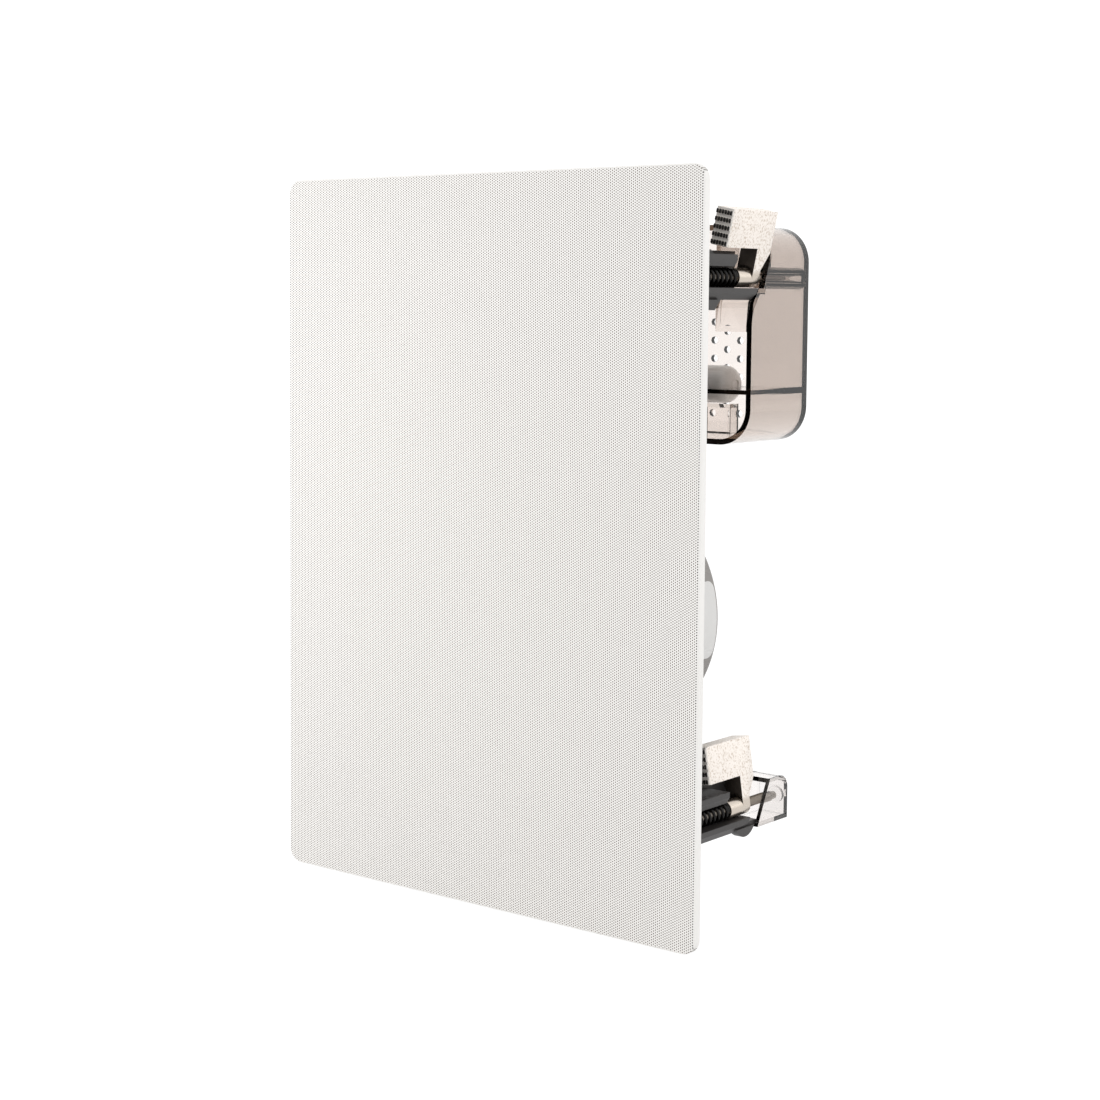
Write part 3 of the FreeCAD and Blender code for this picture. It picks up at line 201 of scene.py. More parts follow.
@dataclass(frozen=True)
class Finish:
    """A surface with fine grain, a slow change of tone and gloss that follows the grain.

    Attributes:
        name: What the real surface is and how it was made.
        colour: Its sRGB hex value.
        roughness: Its mean roughness.
        metallic: One for bare metal.
        grain: Width of the grain.
        relief: Depth of the grain.
        vary: How far the tone changes, as a share.
        coat: Weight of a clear coat.
        stretch: Scale of the grain along each axis, for drawn or turned surfaces.
        cloud: Width of a patch of one tone, in grains.
    """

    name: str
    colour: str
    roughness: float
    metallic: float = 0.0
    grain: float = 0.6 * MM
    relief: float = 0.015 * MM
    vary: float = 0.06
    coat: float = 0.0
    stretch: Point = EVEN
    cloud: float = 18.0

    def noise(self, graph: Graph, size: float, detail: float, stretch: Point = EVEN) -> bpy.types.Node:
        """Returns noise whose blotches have a real width, with octaves of finer detail."""
        spread = graph.add("Mapping", {"Vector": graph.point(), "Scale": stretch})
        return graph.add("TexNoise", {"Vector": spread, "Scale": 1 / size, "Detail": detail})

    def tone(self, graph: Graph) -> bpy.types.NodeSocket:
        """Returns the base colour with its slow change of tone.

        Args:
            graph: The tree.

        Returns:
            The colour's socket.
        """
        drift = self.noise(graph, self.cloud * self.grain, 3.0)
        shades = {0: drift, 6: darker(self.colour, self.vary), 7: linear(self.colour)}
        return graph.add("Mix", shades, data_type="RGBA").outputs[2]

    def skin(self, graph: Graph) -> dict:
        """Returns what the shader's inputs are linked to.

        Args:
            graph: The tree.

        Returns:
            Nodes, sockets and values by the input's name.
        """
        grain = self.noise(graph, self.grain, 3.0, self.stretch)
        gloss = graph.add("MapRange", {"Value": grain, "From Min": NOISE_SPAN[0], "From Max": NOISE_SPAN[1],
                                       "To Min": self.roughness * (1 - GLOSS_SWING),
                                       "To Max": min(self.roughness * (1 + GLOSS_SWING), 1.0)})
        bump = graph.add("Bump", {"Height": grain, "Distance": self.relief})
        return {"Base Color": self.tone(graph), "Roughness": gloss, "Normal": bump}

    def material(self) -> bpy.types.Material:
        """Builds the node tree.

        Returns:
            The finished material.
        """
        graph = Graph(bpy.data.materials.new(self.name))
        plain = {"Roughness": self.roughness, "Metallic": self.metallic, "Coat Weight": self.coat}
        graph.end(Surface=graph.add("BsdfPrincipled", {**plain, **self.skin(graph)}))
        return graph.owner


@dataclass(frozen=True)
class Perforated(Finish):
    """Sheet with round holes in upright columns, each column half a pitch off the last.

    Attributes:
        pitch: Distance between neighbouring holes.
        hole: Radius of a hole.
        blur: Share of that radius over which a hole's edge fades.
        dark: Colour of what shows in a hole.
        margin: Bare border at the sheet's edge.
        last: Distance from the edge within which the last column lies, on the fold that turns away from the
            light.
        last_painted_shade: Painted shade: the darker colour of the last column's holes, where the fold turns
            away from the light.
        dip: Depth that a hole seems to have.
    """

    pitch: float = 1.0 * MM
    hole: float = 0.25 * MM
    blur: float = 0.2
    dark: str = "7a7169"
    margin: float = 0.62 * MM
    last: float = 1.3 * MM
    last_painted_shade: str = "3f3833"
    dip: float = 0.12 * MM

    def holes(self, graph: Graph) -> bpy.types.Node:
        """Returns one inside a hole and zero on the sheet.

        Args:
            graph: The tree.

        Returns:
            The mask's node.
        """
        half = Vector((math.sqrt(3) / 2, 1.0, 0.5))
        scale = 1 / self.pitch
        flat = graph.add("VectorMath", {0: graph.point(), 1: (scale, 0.0, scale)}, operation="MULTIPLY")
        moved = graph.add("VectorMath", {0: flat, 1: (half.x, 0.0, half.z)}, operation="ADD")
        reach = []
        for place in (flat, moved):
            cell = graph.add("VectorMath", {0: place, 1: half, 2: -half}, operation="WRAP")
            reach.append(graph.add("VectorMath", {0: cell}, operation="LENGTH").outputs["Value"])
        near = graph.joined(*reach, join="MINIMUM")
        edge = self.hole * scale
        span = {"From Min": (1 - self.blur) * edge, "From Max": (1 + self.blur) * edge}
        fade = {"Value": near, **span, "To Min": 1.0, "To Max": 0.0}
        return graph.add("MapRange", fade, interpolation_type="SMOOTHSTEP")

    def skin(self, graph: Graph) -> dict:
        """Returns what the shader's inputs are linked to.

        Args:
            graph: The tree.

        Returns:
            Nodes, sockets and values by the input's name.
        """
        place = graph.add("SeparateXYZ", {0: graph.point()}).outputs
        aside, above = (graph.add("Math", {0: place[axis]}, operation="ABSOLUTE") for axis in (0, 2))
        mask = graph.joined(self.holes(graph), ("LESS_THAN", aside, GRILLE_HALF.x - self.margin),
                            ("LESS_THAN", above, GRILLE_HALF.z - self.margin))
        # Painted shade: holes of the last column, on the fold, take the darker colour.
        outer = graph.add("Math", {0: aside, 1: GRILLE_HALF.x - self.last}, operation="GREATER_THAN")
        hole = graph.add("Mix", {0: outer, 6: linear(self.dark), 7: linear(self.last_painted_shade)}, data_type="RGBA")
        colour = graph.add("Mix", {0: mask, 6: self.tone(graph), 7: hole.outputs[2]}, data_type="RGBA")
        powder = graph.add("Bump", {"Height": self.noise(graph, self.grain, 2.0), "Distance": self.relief})
        sheet = graph.add("Math", {0: 1.0, 1: mask}, operation="SUBTRACT")
        pierced = graph.add("Bump", {"Height": sheet, "Distance": self.dip, "Normal": powder})
        return {"Base Color": colour.outputs[2], "Normal": pierced}


def from_screws(graph: Graph, place: bpy.types.NodeOutputs, heights: Sequence[float]) -> bpy.types.Node:
    """Returns how far a point is from the nearest clamp screw's axis.

    Args:
        graph: The tree.
        place: The point on the object, taken apart.
        heights: Heights of the screws on either side.

    Returns:
        The distance's node.
    """
    aside = graph.add("Math", {0: place[0]}, operation="ABSOLUTE")
    across = graph.add("Math", {0: aside, 1: TOWER_X}, operation="SUBTRACT")
    reach = []
    for height in heights:
        above = graph.add("Math", {0: place[2], 1: height}, operation="SUBTRACT")
        way = graph.add("CombineXYZ", {0: across, 2: above})
        reach.append(graph.add("VectorMath", {0: way}, operation="LENGTH").outputs["Value"])
    return graph.joined(*reach, join="MINIMUM")


@dataclass(frozen=True)
class Cast(Finish):
    """Blasted casting with darker specks, smooth where it turns on its screw, and painted shade on the leg's
    face behind its block.

    Attributes:
        speck: Width of a speck.
        speck_colour: Colour of a speck.
        speck_span: Values of the noise between which a speck darkens.
        speck_most: Share of its colour at a speck's middle.
        barrel: Radius of the turned barrel.
        turned: Width over which the turned face passes into the blasted one.
        worn: Colour of the bare barrel.
        shine: Roughness of the bare barrel.
        lee_painted_shade: Painted shade: the dark colour of the leg's face in the lee of its block.
        behind: Depth from which a forward face lies in that lee.
        forward: The normal's y under which a face looks forward.
    """

    speck: float = 0.8 * MM
    speck_colour: str = "c3b5a5"
    speck_span: Pair = (0.5, 0.68)
    speck_most: float = 0.8
    barrel: float = 4.1 * MM
    turned: float = 1.5 * MM
    worn: str = "c9bfb3"
    shine: float = 0.25
    lee_painted_shade: str = "57504a"
    behind: float = 45.0 * MM
    forward: float = -0.5

    def skin(self, graph: Graph) -> dict:
        """Returns what the shader's inputs are linked to.

        Args:
            graph: The tree.

        Returns:
            Nodes, sockets and values by the input's name.
        """
        place = graph.add("SeparateXYZ", {0: graph.point()}).outputs
        facing = graph.add("SeparateXYZ", {0: graph.add("NewGeometry").outputs["True Normal"]}).outputs
        away = graph.add("MapRange", {"Value": from_screws(graph, place, TOWER_Z), "From Min": self.barrel,
                                      "From Max": self.barrel + self.turned}, interpolation_type="SMOOTHSTEP")
        # Painted shade: the leg's forward faces behind the block.
        lee = graph.joined(("LESS_THAN", facing[1], self.forward), ("GREATER_THAN", place[1], self.behind))
        coarse = self.noise(graph, self.speck, 4.0)
        specks = graph.add("MapRange", {"Value": coarse, "From Min": self.speck_span[0],
                                        "From Max": self.speck_span[1], "To Max": self.speck_most})
        shades = {0: specks, 6: self.tone(graph), 7: linear(self.speck_colour)}
        blasted = graph.add("Mix", shades, data_type="RGBA")
        clean = graph.add("Mix", {0: away, 6: linear(self.worn), 7: blasted.outputs[2]}, data_type="RGBA")
        # Painted shade goes where the lee mask holds.
        colour = graph.add("Mix", {0: lee, 6: clean.outputs[2], 7: linear(self.lee_painted_shade)}, data_type="RGBA")
        gloss = graph.add("MapRange", {"Value": away, "To Min": self.shine, "To Max": self.roughness})
        under = graph.add("Bump", {"Height": graph.joined(coarse, away), "Distance": self.relief})
        fine = self.noise(graph, self.speck / 3, 2.0)
        over = graph.add("Bump", {"Height": fine, "Distance": self.relief / 3, "Normal": under})
        return {"Base Color": colour.outputs[2], "Roughness": gloss, "Normal": over}


@dataclass(frozen=True)
class Clear(Finish):
    """Transparent plastic that darkens with the thickness one looks through, with painted shade on its side
    walls, cut edges, shelf and screw tubes.

    Attributes:
        side_painted_shade: Painted shade: the darker colour of the walls that face left and right.
        floor_share: Share of that painted shade that is left at the floor of the box.
        filter: What a long way through the plastic lets pass, in linear light.
        density: How fast it darkens, per metre.
        specular: Strength of its reflections.
        edge: Painted shade: the near-black colour of a cut edge, standing in for the darkening through the
            plastic's whole depth.
        rear: Depth at which the rear wall starts.
        rim_deep: Depth up to which a forward face can be a rim.
        reach: Distance from the middle past which a forward face is a rim.
        low: Height under which a forward face is a rim.
        foot: Height of the rear wall's lower edge above that.
        top: Height above which the rear wall has no vents.
        vents_reach: Distance from the middle past which the rear wall has no vents.
        shelf: Height of the shelf.
        shelf_half: Half the shelf's thickness.
        shelf_shade: Distances before the rear wall over which painted shade comes in on the side walls at the
            shelf's height.
        tunnel: Radius round a screw inside which the wall is a tube.
        tube_tone: Least share of painted shade in a tube's wall.
        tube_turn: How far a tube's wall turns from the eye where its painted shade starts and ends.
        forward: The normal's y under which a face looks forward.
        along: The normal's y, either way, under which a face is an edge of the rear wall.
        aside: The normal's x, either way, over which a face is a side wall.
    """

    side_painted_shade: str = "ffffff"
    floor_share: float = 0.35
    filter: Colour = (0.30, 0.17, 0.06, 1.0)
    density: float = 100.0
    specular: float = 0.3
    edge: str = "030303"
    rear: float = 89.3 * MM
    rim_deep: float = 88.3 * MM
    reach: float = 88.0 * MM
    low: float = 42.6 * MM
    foot: float = 2.0 * MM
    top: float = 120.0 * MM
    vents_reach: float = 74.0 * MM
    shelf: float = 60.6 * MM
    shelf_half: float = 1.2 * MM
    shelf_shade: Pair = (28.0 * MM, 14.0 * MM)
    tunnel: float = 5.0 * MM
    tube_tone: float = 0.1
    tube_turn: Pair = (0.35, 0.75)
    forward: float = -0.25
    along: float = 0.5
    aside: float = 0.9

    def dark(self, graph: Graph, place: bpy.types.NodeOutputs, facing: Sequence) -> bpy.types.Node:
        """Returns the share of painted shade on the cut edges, along the shelf and on the tubes round the
        upper screws.

        Args:
            graph: The tree.
            place: The point on the object, taken apart.
            facing: How far the face looks aside, into the wall, and along the depth either way.

        Returns:
            The node of the painted shade's share.
        """
        aside, inwards, along = facing
        off = graph.add("Math", {0: place[0]}, operation="ABSOLUTE")
        level = graph.add("Math", {0: place[2], 1: self.shelf, 2: self.shelf_half}, operation="COMPARE")
        border = graph.joined(("GREATER_THAN", off, self.reach), ("LESS_THAN", place[2], self.low), level,
                              join="MAXIMUM")
        rims = graph.joined(("LESS_THAN", inwards, self.forward), ("LESS_THAN", place[1], self.rim_deep),
                            border)
        solid = graph.joined(("GREATER_THAN", off, self.vents_reach), ("GREATER_THAN", place[2], self.top),
                             ("LESS_THAN", place[2], self.low + self.foot), join="MAXIMUM")
        rear = graph.joined(("LESS_THAN", along, self.along), ("GREATER_THAN", place[1], self.rear), solid)
        deep = graph.add("MapRange", {"Value": place[1], "From Min": self.rear - self.shelf_shade[0],
                                      "From Max": self.rear - self.shelf_shade[1]})
        shelf_shade = graph.joined(level, deep, ("GREATER_THAN", aside, self.aside))
        # Painted shade: a tube's wall darkens as it turns from the eye.
        turned = graph.add("LayerWeight", {"Blend": 0.5}).outputs["Facing"]
        span = {"From Min": self.tube_turn[0], "From Max": self.tube_turn[1], "To Min": self.tube_tone}
        wall = graph.add("MapRange", {"Value": turned, **span}, interpolation_type="SMOOTHSTEP")
        tube = graph.joined(("LESS_THAN", from_screws(graph, place, TOWER_Z[:1]), self.tunnel), wall)
        return graph.joined(rims, rear, shelf_shade, tube, join="MAXIMUM")

    def material(self) -> bpy.types.Material:
        """Builds the node tree, with absorption inside the walls.

        Returns:
            The finished material.
        """
        graph = Graph(bpy.data.materials.new(self.name))
        place = graph.add("SeparateXYZ", {0: graph.point()}).outputs
        normal = graph.add("SeparateXYZ", {0: graph.add("NewGeometry").outputs["True Normal"]}).outputs
        aside, along = (graph.add("Math", {0: normal[axis]}, operation="ABSOLUTE") for axis in (0, 1))
        # Painted shade: walls that face aside take the side colour, less of it towards the floor of the box.
        high = graph.add("MapRange", {"Value": place[2], "From Min": self.low, "From Max": self.shelf,
                                      "To Min": self.floor_share})
        shades = {0: graph.joined(aside, high), 6: self.tone(graph), 7: linear(self.side_painted_shade)}
        tint = graph.add("Mix", shades, data_type="RGBA")
        # Painted shade: near-black on cut edges, along the shelf and on the screw tubes.
        dark = self.dark(graph, place, (aside, normal[1], along))
        colour = graph.add("Mix", {0: dark, 6: tint.outputs[2], 7: linear(self.edge)}, data_type="RGBA")
        shader = graph.add("BsdfPrincipled", {"Base Color": colour.outputs[2], "Roughness": self.roughness,
                                              "IOR": 1.49, "Transmission Weight": 1.0,
                                              "Specular IOR Level": self.specular})
        inside = graph.add("VolumeAbsorption", {"Color": self.filter, "Density": self.density})
        graph.end(Surface=shader, Volume=inside)
        return graph.owner


@dataclass(frozen=True)
class Cloth(Finish):
    """Woven cloth, seen as two crossed sets of threads.

    Attributes:
        thread: Distance between threads.
        gaps: How much darker the gaps between threads are, as a share.
        full: Height of the weave, of one, at which a thread has its full colour.
    """

    thread: float = 0.5 * MM
    gaps: float = 0.3
    full: float = 0.6

    def skin(self, graph: Graph) -> dict:
        """Returns what the shader's inputs are linked to.

        Args:
            graph: The tree.

        Returns:
            Nodes, sockets and values by the input's name.
        """
        place = graph.add("SeparateXYZ", {0: graph.point()}).outputs
        waves = []
        for axis in (0, 2):
            phase = graph.add("Math", {0: place[axis], 1: 2 * math.pi / self.thread}, operation="MULTIPLY")
            waves.append(graph.add("Math", {0: phase}, operation="SINE"))
        weave = graph.joined(*waves)
        share = graph.add("MapRange", {"Value": weave, "From Min": -self.full, "From Max": self.full})
        shades = {0: share, 6: darker(self.colour, self.gaps), 7: linear(self.colour)}
        colour = graph.add("Mix", shades, data_type="RGBA")
        bump = graph.add("Bump", {"Height": weave, "Distance": self.relief})
        return {"Base Color": colour.outputs[2], "Normal": bump}


@dataclass(frozen=True)
class Wound(Finish):
    """Enamelled wire laid turn by turn.

    Attributes:
        wire: Distance between turns.
        axis: The axis along which the turns follow one another.
        grooves: How much darker the grooves between turns are, as a share.
        full: Height of a turn, of one, at which it has its full colour.
    """

    wire: float = 0.8 * MM
    axis: int = 1
    grooves: float = 0.65
    full: float = 0.5

    def skin(self, graph: Graph) -> dict:
        """Returns what the shader's inputs are linked to.

        Args:
            graph: The tree.

        Returns:
            Nodes, sockets and values by the input's name.
        """
        place = graph.add("SeparateXYZ", {0: graph.point()}).outputs
        phase = graph.add("Math", {0: place[self.axis], 1: math.pi / self.wire}, operation="MULTIPLY")
        wave = graph.add("Math", {0: graph.add("Math", {0: phase}, operation="SINE")}, operation="ABSOLUTE")
        share = graph.add("MapRange", {"Value": wave, "From Max": self.full})
        shades = {0: share, 6: darker(self.colour, self.grooves), 7: linear(self.colour)}
        colour = graph.add("Mix", shades, data_type="RGBA")
        bump = graph.add("Bump", {"Height": wave, "Distance": self.wire / 3})
        return {"Base Color": colour.outputs[2], "Normal": bump}


@dataclass(frozen=True)
class Moulded(Finish):
    """Rubber with painted light in its valleys: pale where light catches the floor between the teeth.

    Attributes:
        valley_painted_light: Painted light: the pale colour of the valleys.
        tip_y: Depth of the tips.
        floor_y: Depth of the valleys.
        cloud: Width of a patch of that painted light, in grains.
        thin: Least share of painted light in a valley.
    """

    valley_painted_light: str = "fffaf4"
    tip_y: float = 29.4 * MM
    floor_y: float = 29.95 * MM
    cloud: float = 4.0
    thin: float = 0.9

    def tone(self, graph: Graph) -> bpy.types.NodeSocket:
        """Returns the base colour, with painted light in the valleys.

        Args:
            graph: The tree.

        Returns:
            The colour's socket.
        """
        place = graph.add("SeparateXYZ", {0: graph.point()}).outputs
        deep = graph.add("MapRange", {"Value": place[1], "From Min": self.tip_y, "From Max": self.floor_y})
        patches = self.noise(graph, self.cloud * self.grain, 2.0)
        drift = graph.add("MapRange", {"Value": patches, "To Min": self.thin})
        # Painted light: the valleys take the pale colour.
        shades = {0: graph.joined(deep, drift), 6: linear(self.colour), 7: linear(self.valley_painted_light)}
        return graph.add("Mix", shades, data_type="RGBA").outputs[2]


CAP_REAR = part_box("tip_cap_lower_right")[1].y

FINISHES: dict[str, Finish] = {
    # Powder coat on thin steel: matt and even, and the holes read as a fine grey screen.
    "grille": Perforated("powder_coated_perforated_steel", "fefcf9", 0.55, grain=0.4 * MM, relief=0.008 * MM,
                         vary=0.02),
    # Moulded ABS with spark texture: dark grey, a soft sheen on the bevels.
    "frame": Finish("moulded_abs_spark_texture", "343130", 0.42, grain=0.35 * MM, relief=0.012 * MM,
                    vary=0.15),
    # Nickel plate: bright, with a faint cloudiness.
    "magnet": Finish("nickel_plated_magnet", "c9c6c0", 0.22, 1.0, vary=0.08),
    # Black oxide on steel: dark, and it keeps a metal's glint.
    "black_screw": Finish("black_oxide_steel", "242322", 0.35, 1.0, vary=0.12),
    # Zinc plate on steel: grey, with the streaks of the rolled thread.
    "zinc_screw": Finish("zinc_plated_steel", "8f877e", 0.3, 1.0, vary=0.15, stretch=(1.0, 4.0, 1.0)),
    # Blackened spring wire: nearly black with narrow glints along each turn.
    "spring": Finish("blackened_spring_wire", "1b1a19", 0.25, 0.7, grain=0.3 * MM, relief=0.004 * MM),
    # Baked black paint on pressed steel: smooth with a thin gloss.
    "basket": Finish("black_painted_pressed_steel", "191919", 0.4, coat=0.2, vary=0.12),
    # Moulded butyl rubber: dull black.
    "surround": Finish("moulded_butyl_rubber", "1a1a1a", 0.62, vary=0.15),
    # Pressed paper pulp: fibrous and matt, the fibres drawn coarser than life so that they show.
    "cone": Finish("pressed_paper_pulp", "262521", 0.85, grain=0.9 * MM, relief=0.05 * MM, vary=0.3),
    # Rolled aluminium foil: bright with light drawing marks.
    "foil": Finish("rolled_aluminium_foil", "cfd0d2", 0.35, 1.0, stretch=(1.0, 8.0, 1.0)),
    # Enamelled copper wire: warm metal under a clear coat, the turns showing as fine ribs.
    "copper": Wound("enamelled_copper_voice_coil", "b4622f", 0.3, 0.9, wire=0.5 * MM, coat=0.3),
    "coil": Wound("enamelled_copper_air_coil", "b4622f", 0.3, 0.9, wire=0.9 * MM, coat=0.3),
    "core": Wound("enamelled_copper_cored_coil", "a85a2c", 0.3, 0.9, wire=0.9 * MM, axis=0, coat=0.3),
    # Resin-stiffened cotton: open weave with a dull amber tone.
    "spider": Cloth("resin_stiffened_woven_cotton", "c9a35a", 0.85, relief=0.08 * MM, thread=0.7 * MM),
    # Turned steel, zinc plated: grey metal with turning marks.
    "plated": Finish("turned_zinc_plated_steel", "a3a19d", 0.34, 1.0, grain=0.5 * MM, vary=0.1,
                     stretch=(1.0, 6.0, 1.0)),
    # Ground ferrite: dark ceramic with a dusty bloom.
    "ferrite": Finish("ground_ferrite", "2d2d2f", 0.55, grain=0.5 * MM, relief=0.02 * MM, vary=0.25),
    # Moulded grey rubber: soft and matt, with mould bloom.
    "boot": Finish("moulded_grey_rubber", "a29e9b", 0.62, grain=0.5 * MM, relief=0.02 * MM, vary=0.1),
    # Coated label paper: clean, a touch off white, with a faint sheen.
    "label": Finish("coated_label_paper", "ecebe9", 0.4, grain=0.25 * MM, relief=0.004 * MM, vary=0.03),
    # Tinned brass: pale yellow grey and smooth.
    "tab": Finish("tinned_brass", "c8bd9c", 0.32, 1.0, vary=0.1),
    # Moulded ABS, fine: black with a soft sheen.
    "black_plastic": Finish("moulded_black_abs", "1b1b1b", 0.45, vary=0.15),
    # Coated silk: dark weave with a damped shine.
    "silk": Cloth("coated_silk", "2b2b2d", 0.5, relief=0.02 * MM, thread=0.35 * MM),
    # Glass laminate under solder mask: green, glossy, faintly cloudy.
    "board": Finish("glass_laminate_solder_mask", "3f5a2e", 0.4, grain=0.5 * MM, coat=0.4, vary=0.2),
    # Moulded nylon: milky white.
    "nylon": Finish("moulded_nylon", "e6e2d8", 0.45, vary=0.05),
    # Shrunk sleeve: dark blue and glossy.
    "sleeve": Finish("shrunk_pvc_sleeve", "1c2433", 0.32, coat=0.3),
    # Cast cement: chalky and rough.
    "cement": Finish("cast_cement", "e4e1d8", 0.78, grain=0.5 * MM, relief=0.04 * MM, vary=0.08),
    # Wound polyester film: pale wrap with soft streaks along its length.
    "film": Finish("wound_polyester_film", "fffaf5", 0.28, grain=0.9 * MM, coat=0.4, vary=0.2,
                   stretch=(0.1, 1.0, 1.0)),
    # Smoked acrylic: clear, slightly brown, with painted shade: black at every cut edge, darker on its side
    # walls.
    "smoked": Clear("moulded_smoked_acrylic", "fdf8f5", 0.0, grain=3.0 * MM, vary=0.03, side_painted_shade="c9c0ba",
                    density=68.0),
    # Clear acrylic: nearly colourless, grey at its edges, which is painted shade.
    "clear": Clear("moulded_clear_acrylic", "fbf9f8", 0.0, grain=3.0 * MM, vary=0.03, side_painted_shade="f1edea",
                   filter=(0.30, 0.24, 0.20, 1.0), density=40.0, rear=CAP_REAR - 0.6 * MM,
                   rim_deep=CAP_REAR - 3 * MM, reach=0.0, vents_reach=0.0, tunnel=0.0),
    # Moulded black ABS of the terminal block.
    "terminal": Finish("moulded_black_terminal_abs", "191919", 0.38, vary=0.12),
    # Coloured ABS, polished: clean with a thin gloss.
    "red": Finish("moulded_red_abs", "b3201c", 0.3, coat=0.3),
    "black": Finish("moulded_black_button_abs", "161616", 0.3, coat=0.3),
    # Blasted zinc casting: pale and speckled, bare bright metal on the barrel, painted shade on the leg
    # behind its block.
    "zinc": Cast("blasted_zinc_casting", "f5efe9", 0.62, 1.0, grain=0.5 * MM, relief=0.05 * MM),
    # Moulded rubber teeth: black tips over valleys made pale with painted light.
    "pad": Moulded("moulded_toothed_rubber", "1d1a19", 0.55, grain=0.4 * MM),
    # Reflowed solder: small bright domes.
    "solder": Finish("reflowed_solder", "c4c6c8", 0.25, 1.0),
}

NODE_FINISH: dict[str, str] = {
    "grille_panel": "grille", "grille_magnets": "magnet", "frame_baffle": "frame",
    "driver_screws": "black_screw", "cover_screws": "black_screw",
    "woofer_basket": "basket", "woofer_surround": "surround",
    "woofer_cone": "cone", "woofer_dust_cap": "cone",
    "woofer_coil_former": "foil", "woofer_voice_coil": "copper", "woofer_spider": "spider",
    "woofer_top_plate": "plated", "woofer_magnet": "ferrite", "woofer_yoke": "plated",
    "woofer_terminals": "tab", "magnet_boot": "boot", "boot_label": "label",
    "tweeter_plate": "black_plastic", "tweeter_dome": "silk", "tweeter_edge": "silk",
    "tweeter_top_plate": "plated", "tweeter_magnet": "ferrite", "tweeter_yoke": "plated",
    "tweeter_cup": "black_plastic", "crossover_board": "board", "board_posts": "nylon", "air_coil": "coil",
    "core_coil": "core", "small_capacitor": "sleeve", "resistor": "cement", "large_capacitor": "film",
    "crossover_cover": "smoked", "tip_cap_lower_right": "clear", "tip_cap_lower_left": "clear",
    "terminal_block": "terminal", "button_left": "black", "button_right": "red",
    **{"clamp_screw_" + side.label: "zinc_screw" for side in Side},
    **{"clamp_spring_" + side.label: "spring" for side in Side},
    **{"clamp_arm_" + side.label: "zinc" for side in Side},
    **{"clamp_pad_" + side.label: "pad" for side in Side},
}


class Palette:
    """The materials, each built once."""

    def __init__(self) -> None:
        """Builds every finish."""
        self.made = {key: finish.material() for key, finish in FINISHES.items()}

    def __getitem__(self, key: str) -> bpy.types.Material:
        """Returns one material by its short name."""
        return self.made[key]

    def dress_nodes(self) -> None:
        """Gives each node of the frame its finish."""
        for node, piece in frame["nodes"].items():
            piece.data.materials.clear()
            piece.data.materials.append(self[NODE_FINISH[node]])
        LOG.info("frame: %d nodes dressed", len(frame["nodes"]))


